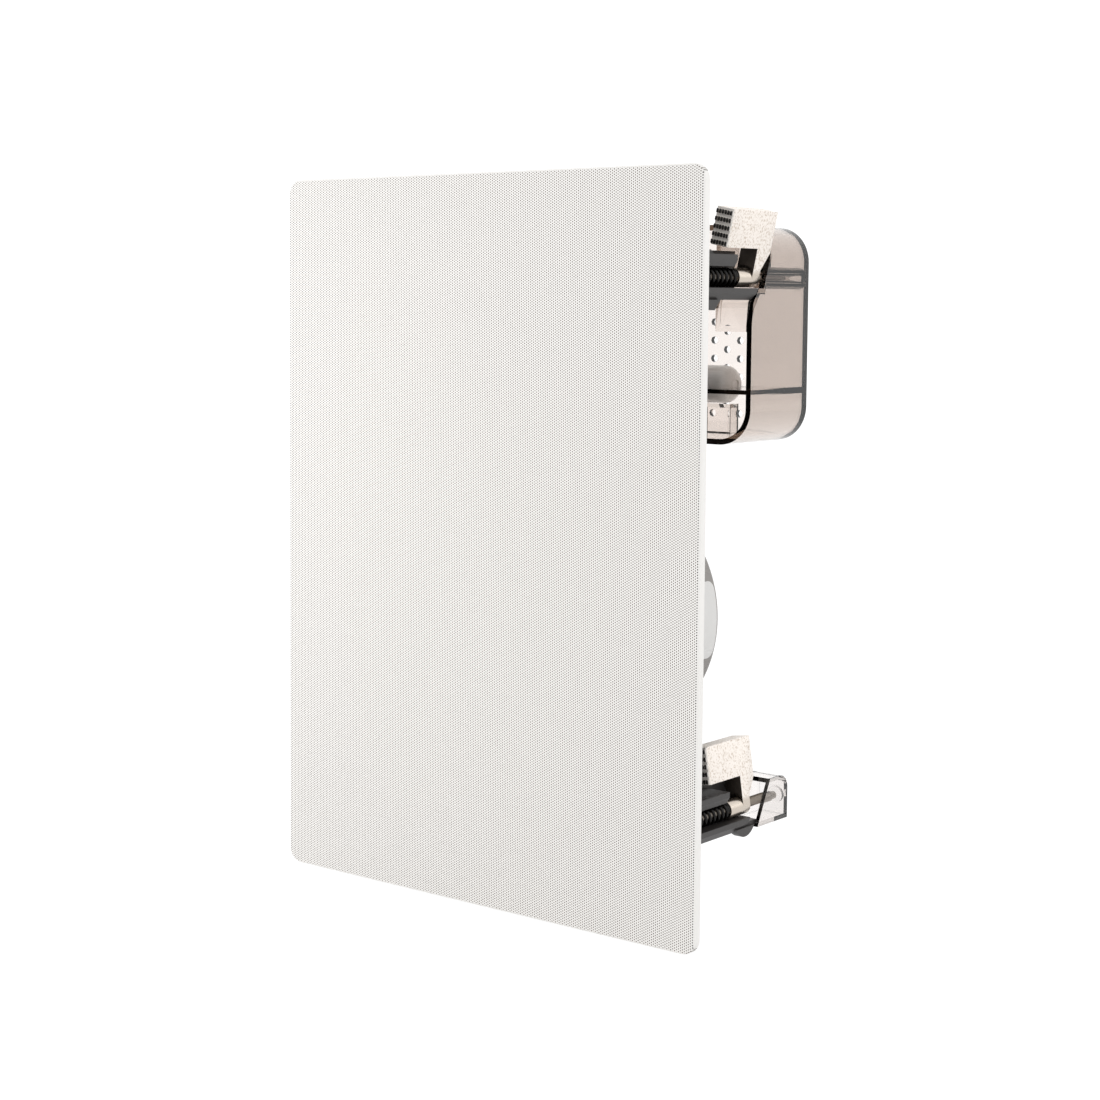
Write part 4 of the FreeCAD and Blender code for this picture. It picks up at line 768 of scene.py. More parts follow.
@dataclass
class Part:
    """A new piece.

    Attributes:
        name: The piece's name.
        body: The body it rides on.
        finish: The short name of its finish.
        slot: The record's material slot; not used.
        mesh: Its mesh under construction.
    """

    name: str
    body: str
    finish: str
    slot: str
    mesh: bmesh.types.BMesh = field(default_factory=bmesh.new)

    def lathe(self, outline: Sequence[Pair], centre: Pair, steps: int = ROUND) -> None:
        """Turns a closed outline about an axis along +Y.

        Args:
            outline: Points as (radius, y).
            centre: The axis as (x, z).
            steps: Number of steps round.
        """
        verts = [self.mesh.verts.new((centre[0] + r, y, centre[1])) for r, y in outline]
        pairs = zip(verts, verts[1:] + verts[:1])
        edges = [self.mesh.edges.new(pair) for pair in pairs
                 if any(abs(vert.co.x - centre[0]) > 1e-7 for vert in pair)]
        bmesh.ops.spin(self.mesh, geom=verts + edges, cent=(centre[0], 0.0, centre[1]), axis=Y_AXIS,
                       angle=2 * math.pi, steps=steps, use_merge=True)

    def coil(self, section: Sequence[Pair], centre: Pair, runs: Sequence[Pair], steps: int = 24) -> None:
        """Sweeps a closed section round a screw line along +Y and closes its ends.

        Args:
            section: Points as (radius, y) at the start.
            centre: The axis as (x, z).
            runs: Each run's number of turns and its pitch.
            steps: Steps in one turn.
        """
        before = set(self.mesh.edges)
        verts = [self.mesh.verts.new((centre[0] + r, y, centre[1])) for r, y in section]
        last = verts + [self.mesh.edges.new(pair) for pair in zip(verts, verts[1:] + verts[:1])]
        for turns, pitch in runs:
            made = bmesh.ops.spin(self.mesh, geom=last, cent=(centre[0], 0.0, centre[1]), axis=Y_AXIS,
                                  dvec=Y_AXIS * (pitch / steps), angle=2 * math.pi * turns,
                                  steps=round(turns * steps))
            last = made["geom_last"]
        ends = [edge for edge in self.mesh.edges if edge not in before and edge.is_boundary]
        bmesh.ops.holes_fill(self.mesh, edges=ends, sides=0)

    def block(self, low: Point, high: Point, bevel: float, segments: int, turn: Matrix) -> None:
        """Adds a box with rounded edges.

        Args:
            low: Its lowest corner.
            high: Its highest corner.
            bevel: Radius of its edges.
            segments: Steps round an edge.
            turn: The matrix that places the box.
        """
        size = Vector(high) - Vector(low)
        middle = Matrix.Translation((Vector(high) + Vector(low)) / 2) @ Matrix.Diagonal((*size, 1.0))
        before = set(self.mesh.verts)
        made = bmesh.ops.create_cube(self.mesh, size=1.0, matrix=middle)["verts"]
        edges = list({edge for vert in made for edge in vert.link_edges})
        bmesh.ops.bevel(self.mesh, geom=edges, offset=bevel, segments=segments, profile=0.5,
                        affect="EDGES", material=-1)
        added = [vert for vert in self.mesh.verts if vert not in before]
        bmesh.ops.transform(self.mesh, matrix=turn, verts=added)

    def soften(self, node: str, radius: float, segments: int = 2, sharp: float = 30.0) -> None:
        """Takes a node's solid and rounds its sharp edges.

        Args:
            node: The node to copy.
            radius: Radius of the rounded edges.
            segments: Steps round an edge.
            sharp: Edges above this angle in degrees are rounded.
        """
        copy_solid(node, self.mesh)
        bmesh.ops.dissolve_limit(self.mesh, angle_limit=math.radians(1.0), verts=self.mesh.verts,
                                 edges=self.mesh.edges)
        edges = [edge for edge in self.mesh.edges
                 if len(edge.link_faces) == 2 and edge.calc_face_angle() > math.radians(sharp)]
        bmesh.ops.bevel(self.mesh, geom=edges, offset=radius, segments=segments, profile=0.5, affect="EDGES",
                        material=-1, clamp_overlap=True)

    def finished(self, palette: Palette, replaced: Sequence[str] = (), tidy: bool = True) -> bpy.types.Object:
        """Turns the mesh into a finished object.

        Args:
            palette: The built materials.
            replaced: Nodes that this piece stands for.
            tidy: Whether doubles are merged and normals recalculated.

        Returns:
            The object, riding on its body.
        """
        if tidy:
            bmesh.ops.remove_doubles(self.mesh, verts=self.mesh.verts, dist=1e-7)
            bmesh.ops.recalc_face_normals(self.mesh, faces=self.mesh.faces)
        piece = mesh_object(self.name, self.mesh)
        piece.data.materials.append(palette[self.finish])
        shade(piece)
        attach(piece, self.body)
        if replaced:
            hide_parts(*replaced)
        LOG.info("%s: %d faces", self.name, len(piece.data.polygons))
        return piece


def mesh_object(name: str, mesh: bmesh.types.BMesh) -> bpy.types.Object:
    """Turns a mesh under construction into an object of the scene.

    Args:
        name: The object's name.
        mesh: The mesh, which is freed.

    Returns:
        The new object.
    """
    data = bpy.data.meshes.new(name)
    mesh.to_mesh(data)
    mesh.free()
    piece = bpy.data.objects.new(name, data)
    bpy.context.scene.collection.objects.link(piece)
    return piece


def shade(piece: bpy.types.Object) -> None:
    """Shades a mesh smooth, but keeps its creases."""
    piece.data.shade_smooth()
    piece.data.set_sharp_from_angle(angle=CREASE)


def carve(piece: bpy.types.Object, cutter: bmesh.types.BMesh) -> None:
    """Cuts a solid out of a piece.

    Args:
        piece: The piece.
        cutter: The solid to cut out, which is freed.
    """
    tool = mesh_object("cutter", cutter)
    modifier = piece.modifiers.new("cut", "BOOLEAN")
    modifier.object = tool
    modifier.operation = "DIFFERENCE"
    modifier.solver = "EXACT"
    modifier.use_self = True
    made = bpy.data.meshes.new_from_object(piece.evaluated_get(bpy.context.evaluated_depsgraph_get()))
    piece.modifiers.clear()
    piece.data = made
    bpy.data.objects.remove(tool)
    shade(piece)


def copy_solid(node: str, mesh: bmesh.types.BMesh) -> None:
    """Copies a node's loose triangles into a mesh and merges them.

    Args:
        node: The node's name.
        mesh: The mesh that takes them.
    """
    mesh.from_mesh(frame["nodes"][node].data)
    bmesh.ops.remove_doubles(mesh, verts=mesh.verts, dist=MERGE)
    for face in mesh.faces:
        face.material_index = 0


def arc(centre: Pair, radius: float, start: float, end: float, steps: int) -> list[Pair]:
    """Returns points of an arc.

    Args:
        centre: Its centre.
        radius: Its radius.
        start: Its first angle in degrees.
        end: Its last angle in degrees.
        steps: Number of steps.

    Returns:
        The points, both ends included.
    """
    turns = [math.radians(start + (end - start) * i / steps) for i in range(steps + 1)]
    return [(centre[0] + radius * math.cos(t), centre[1] + radius * math.sin(t)) for t in turns]


def middle_of(node: str) -> Pair:
    """Returns the middle of a node as (x, z)."""
    low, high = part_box(node)
    return ((low.x + high.x) / 2, (low.z + high.z) / 2)


@dataclass
class Assembly:
    """A sub-assembly.

    Attributes:
        palette: The materials that its pieces are dressed from.
    """

    palette: Palette


@dataclass
class CrossHead:
    """A pan-head screw with a cross recess.

    Attributes:
        radius: Radius of the head.
        shank: Radius of the shank.
        head: Height of the head.
        length: Length of the shank.
        slot: Width of the recess's arms.
        drive: Length of the recess's arms.
        deep: Depth of the recess.
        crown: The head's profile, as shares of its radius and height.
        point: Length of the shank's point.
        blunt: Radius of that point's end, as a share of the shank's.
    """

    radius: float
    shank: float
    head: float
    length: float
    slot: float = 0.8 * MM
    drive: float = 3.4 * MM
    deep: float = 1.0 * MM
    crown: tuple[Pair, ...] = ((0.0, 0.0), (0.55, 0.06), (0.85, 0.3), (1.0, 0.65), (1.0, 1.0))
    point: float = 0.8 * MM
    blunt: float = 0.4

    def outline(self, front: float) -> list[Pair]:
        """Returns the turned outline of a screw whose head starts at a depth.

        Args:
            front: Depth of the head's front.

        Returns:
            Points as (radius, y).
        """
        seat = front + self.head
        end = seat + self.length
        head = [(across * self.radius, front + down * self.head) for across, down in self.crown]
        shank = [(self.shank, seat), (self.shank, end - self.point)]
        return head + shank + [(self.blunt * self.shank, end), (0.0, end)]

    def recess(self, mesh: bmesh.types.BMesh, centre: Pair, front: float, turn: float) -> None:
        """Adds the cross-shaped cutter of one screw.

        Args:
            mesh: The cutter's mesh.
            centre: The screw's axis as (x, z).
            front: Depth of the head's outer end.
            turn: How far the cross is turned, in radians.
        """
        size = Matrix.Diagonal((self.drive, 2 * self.deep, self.slot, 1.0))
        place = Matrix.Translation((centre[0], front, centre[1]))
        for quarter in (0.0, math.pi / 2):
            arm = place @ Matrix.Rotation(turn + quarter, 4, "Y") @ size
            bmesh.ops.create_cube(mesh, size=1.0, matrix=arm)


@dataclass
class Grille(Assembly):
    """The perforated steel grille with its folded rim.

    Attributes:
        corner: Radius of the corners.
        bend: Outer radius of the fold.
        sheet: Thickness of the steel.
    """

    corner: float = 6.0 * MM
    bend: float = 0.9 * MM
    sheet: float = 0.6 * MM

    def build(self) -> None:
        """Makes the panel as one folded sheet."""
        low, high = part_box("grille_panel")
        part = Part("grille_sheet", "grille", "grille", "grille_paint")
        mesh = part.mesh
        flat = Matrix.Translation((0.0, low.y, 0.0)) @ Matrix.Rotation(math.pi / 2, 4, "X")
        size = Matrix.Diagonal((high.x, high.z, 1.0, 1.0))
        bmesh.ops.create_grid(mesh, x_segments=1, y_segments=1, size=1.0, matrix=flat @ size)
        bmesh.ops.bevel(mesh, geom=mesh.verts[:], offset=self.corner, segments=8, profile=0.5,
                        affect="VERTICES", material=-1)
        rim = mesh.edges[:]
        fold = bmesh.ops.extrude_edge_only(mesh, edges=rim)["geom"]
        skirt = [item for item in fold if isinstance(item, bmesh.types.BMVert)]
        bmesh.ops.translate(mesh, vec=Y_AXIS * (high.y - low.y), verts=skirt)
        bmesh.ops.bevel(mesh, geom=rim, offset=self.bend, segments=4, profile=0.5, affect="EDGES",
                        material=-1)
        bmesh.ops.recalc_face_normals(mesh, faces=mesh.faces)
        front = max(mesh.faces, key=lambda face: face.calc_area())
        if front.normal.y > 0:
            bmesh.ops.reverse_faces(mesh, faces=mesh.faces)
        bmesh.ops.solidify(mesh, geom=mesh.faces[:], thickness=self.sheet)
        part.finished(self.palette, ["grille_panel"])


@dataclass
class Clamp(Assembly):
    """One clamp's spring, screw, arm and pad.

    Attributes:
        side: Which clamp it is.
        wire: Diameter of the spring's wire.
        pitch: Distance between the spring's open turns.
        travel: How far the clamp moves; not used.
        thread: Pitch of the screw's thread.
        crest: Radius of the thread's crest.
        root: Radius of the thread's root.
        arm_in: Nearest reach of the pad from the screw.
        arm_out: Furthest reach of the pad from the screw.
        arm_half: Half the arm's width.
        cast_edge: Radius of the casting's edges.
        pad_y: Depth of the pad's back.
        pad_back: Thickness of the pad's back.
        pad_edge: Radius of the back's edges.
        rows: Rows of teeth.
        teeth: Teeth in a row.
        tooth_edge: Radius of a tooth's edges.
        sunk: How far a tooth goes into the back.
        across: Where a tooth starts and ends, as shares of the step between teeth.
        along: Where a tooth starts and ends, as shares of a row.
        drive_deep: Depth of the screw's cross recess.
        plain: Turns of thread left off under the head and at the tip.
    """

    side: Side
    wire: float = 1.2 * MM
    pitch: float = 3.0 * MM
    travel: float = 9.0 * MM
    thread: float = 1.0 * MM
    crest: float = 1.95 * MM
    root: float = 1.6 * MM
    arm_in: float = 12.0 * MM
    arm_out: float = 26.5 * MM
    arm_half: float = 3.75 * MM
    cast_edge: float = 0.45 * MM
    pad_y: float = 30.6 * MM
    pad_back: float = 0.6 * MM
    pad_edge: float = 0.15 * MM
    rows: int = 5
    teeth: int = 6
    tooth_edge: float = 0.3 * MM
    sunk: float = 0.2 * MM
    across: Pair = (0.14, 0.86)
    along: Pair = (0.12, 0.7)
    drive_deep: float = 1.4 * MM
    plain: tuple[int, int] = (5, 3)

    def placing(self) -> Matrix:
        """Places the arm's own frame, in which +Z goes out along the arm.

        Returns:
            The matrix from that frame to the arm's parked place.
        """
        x, z = middle_of("clamp_screw_" + self.side.label)
        low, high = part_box("clamp_pad_" + self.side.label)
        out = Vector(((low.x + high.x) / 2 - x, 0.0, (low.z + high.z) / 2 - z))
        return Matrix.Translation((x, 0.0, z)) @ Matrix.Rotation(math.atan2(out.x, out.z), 4, "Y")

    def spring(self) -> None:
        """Makes the coil spring with its closed end turns."""
        label = self.side.label
        low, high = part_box("clamp_spring_" + label)
        centre = middle_of("clamp_screw_" + label)
        half = self.wire / 2
        radius = (high.x - low.x) / 2 - half
        open_length = high.y - low.y - 3 * self.wire
        turns = round(open_length / self.pitch)
        part = Part("spring_coil_" + label, "frame", "spring", "spring_black")
        section = arc((radius, low.y + half), half, 0.0, 360.0, steps=10)[:-1]
        part.coil(section, centre, [(1, self.wire), (turns, open_length / turns), (1, self.wire)])
        piece = part.finished(self.palette, ["clamp_spring_" + label])
        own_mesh(piece)

    def screw(self) -> None:
        """Makes the threaded screw with its pan head and cross recess."""
        label = self.side.label
        low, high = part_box("clamp_screw_" + label)
        centre = middle_of("clamp_screw_" + label)
        head = CrossHead((high.x - low.x) / 2, self.root, BAFFLE_Y - low.y, high.y - BAFFLE_Y,
                         deep=self.drive_deep)
        part = Part("screw_threaded_" + label, "screw_" + label, "zinc_screw", "screw_zinc")
        part.lathe(head.outline(low.y), centre, steps=40)
        start = BAFFLE_Y + self.plain[0] * self.thread
        turns = int((high.y - start) / self.thread) - self.plain[1]
        foot = self.root - 0.1 * MM
        ridge = [(foot, start), (self.crest, start + 0.4 * self.thread), (foot, start + 0.8 * self.thread)]
        part.coil(ridge, centre, [(turns, self.thread)], steps=16)
        piece = part.finished(self.palette, ["clamp_screw_" + label])
        cutter = bmesh.new()
        head.recess(cutter, centre, low.y, self.side.tilt)
        carve(piece, cutter)

    def arm(self) -> None:
        """Makes the cast arm with its rounded edges."""
        label = self.side.label
        part = Part("arm_casting_" + label, "arm_" + label, "zinc", "zinc_casting")
        part.soften("clamp_arm_" + label, self.cast_edge, segments=3)
        part.finished(self.palette, ["clamp_arm_" + label], tidy=False)

    def pad(self) -> None:
        """Makes the toothed rubber pad."""
        label = self.side.label
        part = Part("pad_teeth_" + label, "arm_" + label, "pad", "pad_rubber")
        turn = self.placing()
        low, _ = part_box("clamp_pad_" + label)
        base = self.pad_y - self.pad_back
        part.block((-self.arm_half, base, self.arm_in), (self.arm_half, self.pad_y, self.arm_out),
                   self.pad_edge, segments=1, turn=turn)
        row = (self.arm_out - self.arm_in) / self.rows
        step = 2 * self.arm_half / self.teeth
        for i in range(self.rows):
            foot = self.arm_in + i * row
            for k in range(self.teeth):
                left = -self.arm_half + k * step
                part.block((left + self.across[0] * step, low.y, foot + self.along[0] * row),
                           (left + self.across[1] * step, base + self.sunk, foot + self.along[1] * row),
                           self.tooth_edge, segments=2, turn=turn)
        part.finished(self.palette, ["clamp_pad_" + label])

    def build(self) -> None:
        """Makes the whole clamp."""
        self.spring()
        self.screw()
        self.arm()
        self.pad()


@dataclass
class Woofer(Assembly):
    """The cone, its cap and its surround.

    Attributes:
        cone_r: Radius of the cone's rim.
        roll_r: Radius of the surround's roll.
        neck_r: Radius of the cone's neck.
        front_y: Depth of the cone's front.
        neck_y: Depth of the cone's neck.
        flare: How hard the cone curves.
        wall: Thickness of the paper along the axis.
        lean: How far the cone's rear stands out from its front.
        steps: Steps from the cone's neck to its rim.
        cap_r: Radius of the dust cap.
        cap_rise: Height of the dust cap.
        cap_wall: Thickness of the dust cap.
        flange_y: Depth at which the surround is glued.
        lip: Width of the surround's glued lips.
        rubber: Thickness of the rubber.
    """

    cone_r: float = 60.0 * MM
    roll_r: float = 73.0 * MM
    neck_r: float = 12.9 * MM
    front_y: float = 7.0 * MM
    neck_y: float = 33.0 * MM
    flare: float = 0.85
    wall: float = 0.9 * MM
    lean: float = 0.3 * MM
    steps: int = 20
    cap_r: float = 21.0 * MM
    cap_rise: float = 6.5 * MM
    cap_wall: float = 0.5 * MM
    flange_y: float = 6.5 * MM
    lip: float = 1.7 * MM
    rubber: float = 0.6 * MM

    def face(self, share: float) -> Pair:
        """Returns a point of the cone's front, from neck to rim."""
        radius = self.neck_r + (self.cone_r - self.neck_r) * share ** self.flare
        return (radius, self.neck_y + (self.front_y - self.neck_y) * share)

    def cone(self) -> None:
        """Makes the paper cone."""
        front = [self.face(i / self.steps) for i in range(self.steps + 1)]
        rear = [(radius + self.lean, y + self.wall) for radius, y in reversed(front)]
        part = Part("cone_paper", "cone", "cone", "cone_paper")
        part.lathe(front + rear, WOOFER)
        part.finished(self.palette, ["woofer_cone"])

    def cap(self) -> None:
        """Makes the domed dust cap."""
        ball = (self.cap_r ** 2 + self.cap_rise ** 2) / (2 * self.cap_rise)
        low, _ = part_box("woofer_dust_cap")
        middle = low.y + ball
        edge = math.degrees(math.asin(self.cap_r / ball)) - 90
        outline = arc((0.0, middle), ball, -90, edge, steps=14)
        outline += arc((0.0, middle), ball - self.cap_wall, edge, -90, steps=14)
        part = Part("dust_cap_paper", "cone", "cone", "cone_paper")
        part.lathe([(max(radius, 0.0), y) for radius, y in outline], WOOFER)
        part.finished(self.palette, ["woofer_dust_cap"])

    def surround(self) -> None:
        """Makes the rubber half-roll."""
        mid = (self.cone_r + self.roll_r) / 2
        roll = (self.roll_r - self.cone_r) / 2
        top = self.flange_y - self.rubber
        outline = [(self.cone_r - self.lip, self.flange_y), (self.cone_r - self.lip, top)]
        outline += arc((mid, top), roll, 180, 360, steps=16)
        outline += [(self.roll_r + self.lip, top), (self.roll_r + self.lip, self.flange_y)]
        outline += arc((mid, self.flange_y), roll - self.rubber, 360, 180, steps=16)
        part = Part("surround_roll", "frame", "surround", "surround_rubber")
        part.lathe(outline, WOOFER)
        part.finished(self.palette, ["woofer_surround"])

    def build(self) -> None:
        """Makes the moving parts that the room sees."""
        self.cone()
        self.cap()
        self.surround()


@dataclass
class BootLabel(Assembly):
    """The bare label on the magnet's boot, as tall as the photograph shows it.

    Attributes:
        half: Half its height.
        corner: Radius of its corners.
        turns: Directions in degrees of the cuts that round a corner.
    """

    half: float = 16.0 * MM
    corner: float = 3.5 * MM
    turns: tuple[float, ...] = (15.0, 30.0, 45.0, 60.0, 75.0)

    @staticmethod
    def trim(mesh: bmesh.types.BMesh, place: Vector, away: Vector) -> None:
        """Cuts off what lies beyond a plane and closes the cut.

        Args:
            mesh: The film's mesh.
            place: A point of the plane.
            away: The direction of the part that goes.
        """
        cut = bmesh.ops.bisect_plane(mesh, geom=mesh.verts[:] + mesh.edges[:] + mesh.faces[:], dist=1e-7,
                                     plane_co=place, plane_no=away, clear_outer=True)
        rim = [item for item in cut["geom_cut"] if isinstance(item, bmesh.types.BMEdge)]
        bmesh.ops.holes_fill(mesh, edges=rim, sides=0)

    def build(self) -> None:
        """Trims the label's film and rounds its corners."""
        part = Part("label_film", "frame", "label", "label_paper")
        copy_solid("boot_label", part.mesh)
        low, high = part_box("boot_label")
        for up in (-1, 1):
            self.trim(part.mesh, Vector((0.0, 0.0, WOOFER[1] + up * self.half)), Vector((0.0, 0.0, up)))
            for edge, back in ((low.y, -1), (high.y, 1)):
                middle = Vector((0.0, edge - back * self.corner, WOOFER[1] + up * (self.half - self.corner)))
                for turn in map(math.radians, self.turns):
                    away = Vector((0.0, back * math.cos(turn), up * math.sin(turn)))
                    self.trim(part.mesh, middle + self.corner * away, away)
        part.finished(self.palette, ["boot_label"], tidy=False)


@dataclass
class Crossover(Assembly):
    """The crossover's parts that show through the cover.

    Attributes:
        film_round: Radius of the film capacitor's pinched ends.
        film_dish: Depth of the resin in its ends.
        film_lip: The dish's outer and inner radius, as shares of the flat end's.
        lead: Radius of a component's wire.
        joint: Nominal radius of a solder joint.
        joints: Number of solder joints in each row.
        rows: Heights of the rows, as shares of the board's.
        start: Least place of a row's first joint, in steps between joints.
        scatter: How far a joint's place along, place across and size are drawn, in steps and shares.
        least: Least size of a joint, as a share.
        seed: What the joints' places and sizes are drawn from.
        dome: A joint's profile, as shares of its radius: radius and height.
        stub: Heights of the clipped wire's foot, shoulder and end, as shares of the joint's radius.
    """

    film_round: float = 5.0 * MM
    film_dish: float = 0.5 * MM
    film_lip: Pair = (0.8, 0.7)
    lead: float = 0.45 * MM
    joint: float = 1.1 * MM
    joints: int = 7
    rows: tuple[float, ...] = (0.16, 0.42, 0.62, 0.84)
    start: float = 0.7
    scatter: Point = (0.6, 0.05, 0.3)
    least: float = 0.8
    seed: int = 7
    dome: tuple[Pair, ...] = ((0.0, 0.0), (1.0, 0.0), (0.75, 0.35), (0.35, 0.8))
    stub: Point = (1.1, 1.6, 1.7)

    def film_capacitor(self) -> None:
        """Makes the wrapped capacitor that lies in the shelf."""
        low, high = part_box("large_capacitor")
        radius = (high.z - low.z) / 2
        half = (high.x - low.x) / 2
        centre = (low + high) / 2
        flat = radius - self.film_round
        floor = half - self.film_dish
        side = arc((flat, half - self.film_round), self.film_round, 0, 90, steps=6)
        upper = side + [(self.film_lip[0] * flat, half), (self.film_lip[1] * flat, floor), (0.0, floor)]
        outline = upper + [(r, -y) for r, y in reversed(upper)]
        part = Part("film_capacitor", "frame", "film", "film_wrap")
        part.lathe(outline, (0.0, 0.0), steps=48)
        turn = Matrix.Translation(centre) @ Matrix.Rotation(-math.pi / 2, 4, "Z")
        bmesh.ops.transform(part.mesh, matrix=turn, verts=part.mesh.verts)
        part.finished(self.palette, ["large_capacitor"])

    def solder(self) -> None:
        """Makes the solder joints on the board's rear with their clipped wires."""
        low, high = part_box("crossover_board")
        part = Part("solder_joints", "frame", "solder", "tab_brass")
        draw = random.Random(self.seed)
        for share in self.rows:
            for i in range(self.joints):
                across = (i + self.start + self.scatter[0] * draw.random()) / (self.joints + 1)
                x = low.x + (high.x - low.x) * across
                z = low.z + (high.z - low.z) * (share + self.scatter[1] * draw.random())
                size = self.joint * (self.least + self.scatter[2] * draw.random())
                dome = [(wide * size, high.y + tall * size) for wide, tall in self.dome]
                wire = zip((self.lead, self.lead, 0.0), self.stub)
                part.lathe(dome + [(radius, high.y + tall * size) for radius, tall in wire], (x, z), steps=12)
        part.finished(self.palette)

    def build(self) -> None:
        """Makes the parts."""
        self.film_capacitor()
        self.solder()


@dataclass
class DriverScrews(Assembly):
    """The screws that hold both drive units, with their cross recesses.

    Attributes:
        high: Height of a head.
        seed: What the turns of the crosses are drawn from.
    """

    high: float = 1.6 * MM
    seed: int = 3

    @staticmethod
    def islands(node: str) -> list[tuple[Vector, Vector]]:
        """Returns the box of each separate solid of a node.

        Args:
            node: The node's name.

        Returns:
            Lowest and highest corner of each solid.
        """
        mesh = bmesh.new()
        copy_solid(node, mesh)
        left = set(mesh.verts)
        boxes = []
        while left:
            stack = [left.pop()]
            low = stack[0].co.copy()
            high = low.copy()
            while stack:
                vert = stack.pop()
                low = Vector(min(pair) for pair in zip(low, vert.co))
                high = Vector(max(pair) for pair in zip(high, vert.co))
                for edge in vert.link_edges:
                    other = edge.other_vert(vert)
                    if other in left:
                        left.remove(other)
                        stack.append(other)
            boxes.append((low, high))
        mesh.free()
        return sorted(boxes, key=lambda box: (round(box[0].x, 5), round(box[0].z, 5)))

    def build(self) -> None:
        """Makes the screws as one group."""
        part = Part("drive_unit_screws", "frame", "black_screw", "screw_black")
        cutter = bmesh.new()
        draw = random.Random(self.seed)
        for low, high in self.islands("driver_screws"):
            radius = (high.x - low.x) / 2
            head = CrossHead(radius, radius / 2, self.high, high.y - low.y - self.high)
            centre = ((low.x + high.x) / 2, (low.z + high.z) / 2)
            part.lathe(head.outline(low.y), centre, steps=28)
            head.recess(cutter, centre, low.y, draw.random() * math.pi)
        carve(part.finished(self.palette, ["driver_screws"]), cutter)


@dataclass
class RoundedParts(Assembly):
    """Small moulded and cast parts whose real edges are rounded.

    Attributes:
        parts: Each part's node, piece, finish, slot and edge radius.
    """

    parts: tuple[tuple[str, str, str, str, float], ...] = (
        ("terminal_block", "terminal_moulding", "terminal", "terminal_plastic", 0.35 * MM),
        ("resistor", "resistor_cement", "cement", "cement", 0.6 * MM),
    )

    def build(self) -> None:
        """Makes a rounded copy of each node."""
        for node, name, finish, slot, radius in self.parts:
            part = Part(name, "frame", finish, slot)
            part.soften(node, radius)
            part.finished(self.palette, [node], tidy=False)


@dataclass
class PhotoCamera:
    """The camera that took the photograph, solved from the object's straight edges.

    Attributes:
        place: Where it stands.
        right: Its right-hand direction.
        up: Its upward direction.
        focal: Focal length in pixels of the square frame.
        middle: Principal point in pixels.
        frame: Width of the frame in pixels.
        sensor: Sensor width in millimetres.
    """

    place: Point = (0.52422, -0.63953, 0.09563)
    right: Point = (0.77176, 0.63589, 0.00579)
    up: Point = (-0.05344, 0.05577, 0.99701)
    focal: float = 2107.5
    middle: Pair = (480.76, 462.47)
    frame: float = 1100.0
    sensor: float = 36.0

    def build(self) -> None:
        """Makes the camera and hands it to the scene."""
        data = bpy.data.cameras.new("photo_camera")
        data.sensor_width = self.sensor
        data.lens = self.focal * self.sensor / self.frame
        data.shift_x = 0.5 - self.middle[0] / self.frame
        data.shift_y = self.middle[1] / self.frame - 0.5
        data.clip_start = 10 * MM
        camera = bpy.data.objects.new("photo_camera", data)
        bpy.context.scene.collection.objects.link(camera)
        right = Vector(self.right).normalized()
        up = Vector(self.up).normalized()
        turn = Matrix((right, up, right.cross(up))).transposed().to_4x4()
        camera.matrix_world = Matrix.Translation(self.place) @ turn
        bpy.context.scene.camera = camera
        LOG.info("camera: %.2f mm lens", data.lens)


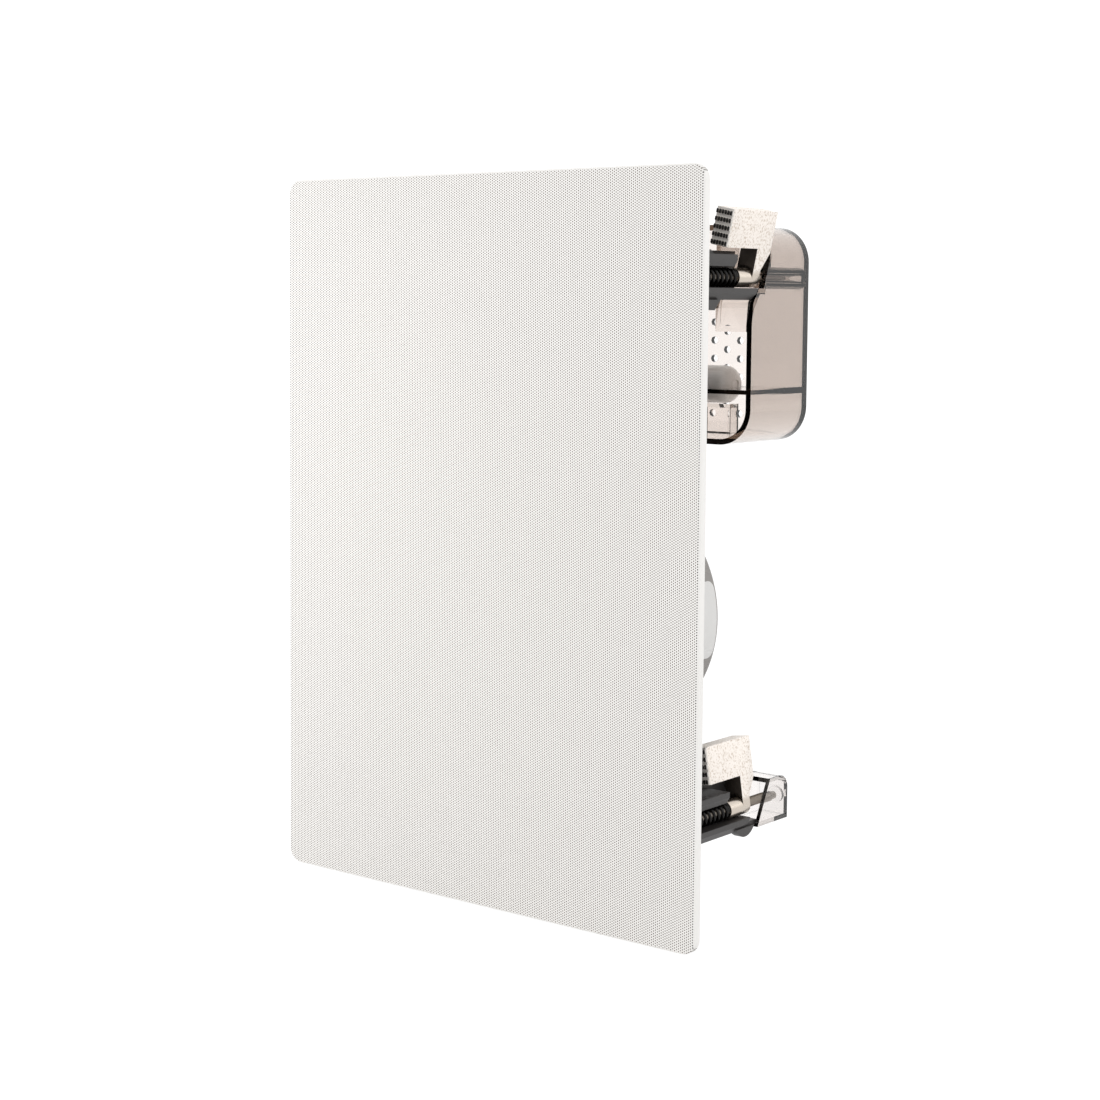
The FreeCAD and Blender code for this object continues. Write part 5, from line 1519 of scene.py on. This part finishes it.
@dataclass
class Studio:
    """A white room: an even world, a pale floor and soft lamps.

    Attributes:
        white: Brightness of the background to the eye, a little past white as in the photograph.
        ambient: Brightness of the world as a light.
        shine: Share of the floor that glows to the eye; the rest takes the object's shadow.
        paper: Colour of the floor.
        gap: How far the floor lies under the object.
        half: Half the floor's width.
        lamps: Each lamp's name, place, width and power in watts.
    """

    white: float = 1.2
    ambient: float = 0.85
    shine: float = 0.8
    paper: str = "f4f4f4"
    gap: float = 4.0 * MM
    half: float = 3.0
    lamps: tuple[tuple[str, Point, float, float], ...] = (
        ("key_front_left", (-0.4, -0.35, 0.1), 0.3, 0.8),
        ("fill_rear_right", (1.1, 0.5, 0.6), 0.8, 1.7),
    )

    def seen(self, graph: Graph) -> bpy.types.Node:
        """Tells what the eye sees from what only lights the object.

        Args:
            graph: The tree.

        Returns:
            One for rays that meet the eye straight, by a mirror or through plastic.
        """
        path = graph.add("LightPath").outputs
        rays = [path[name] for name in ("Is Camera Ray", "Is Transmission Ray", "Is Glossy Ray")]
        return graph.joined(*rays, join="MAXIMUM")

    def world(self) -> None:
        """Makes the even white world."""
        graph = Graph(bpy.data.worlds.new("white_room"), "OutputWorld")
        span = {"To Min": self.ambient, "To Max": self.white}
        strength = graph.add("MapRange", {"Value": self.seen(graph), **span})
        graph.end(Surface=graph.add("Background", {"Color": (*EVEN, 1.0), "Strength": strength}))
        bpy.context.scene.world = graph.owner

    def floor(self) -> None:
        """Makes the pale floor, which reads white but keeps a soft shadow."""
        graph = Graph(bpy.data.materials.new("floor_white_paper"))
        matt = graph.add("BsdfDiffuse", {"Color": linear(self.paper)})
        glow = graph.add("Emission", {"Strength": self.white})
        share = graph.add("Math", {0: self.seen(graph), 1: self.shine}, operation="MULTIPLY")
        graph.end(Surface=graph.add("MixShader", {0: share, 1: matt, 2: glow}))
        mesh = bmesh.new()
        place = Matrix.Translation((0.0, 0.0, CAD_BOX[0][2] - self.gap))
        bmesh.ops.create_grid(mesh, x_segments=1, y_segments=1, size=self.half, matrix=place)
        floor = mesh_object("floor", mesh)
        floor.data.materials.append(graph.owner)

    def lamp(self, name: str, place: Point, size: float, power: float) -> None:
        """Makes one square soft lamp that looks at the object.

        Args:
            name: The lamp's name.
            place: Where it stands.
            size: Its width.
            power: Its power in watts.
        """
        data = bpy.data.lights.new(name, "AREA")
        data.size = size
        data.energy = power
        lamp = bpy.data.objects.new(name, data)
        bpy.context.scene.collection.objects.link(lamp)
        lamp.visible_camera = False
        look = (-Vector(place)).to_track_quat("-Z", "Y")
        lamp.matrix_world = Matrix.Translation(place) @ look.to_matrix().to_4x4()

    def build(self) -> None:
        """Makes the world, the floor and the lamps."""
        self.world()
        self.floor()
        for lamp in self.lamps:
            self.lamp(*lamp)
        bpy.context.scene.view_settings.view_transform = "Standard"
        LOG.info("studio: world, floor and %d lamps", len(self.lamps))


def main() -> None:
    """Builds the scene in order and reports each piece."""
    logging.basicConfig(level=logging.INFO, format="%(message)s")
    PhotoCamera().build()
    Studio().build()
    palette = Palette()
    palette.dress_nodes()
    Grille(palette).build()
    for side in Side:
        Clamp(palette, side).build()
    for assembly in (Woofer, BootLabel, Crossover, DriverScrews, RoundedParts):
        assembly(palette).build()


if __name__ == "__main__":
    main()
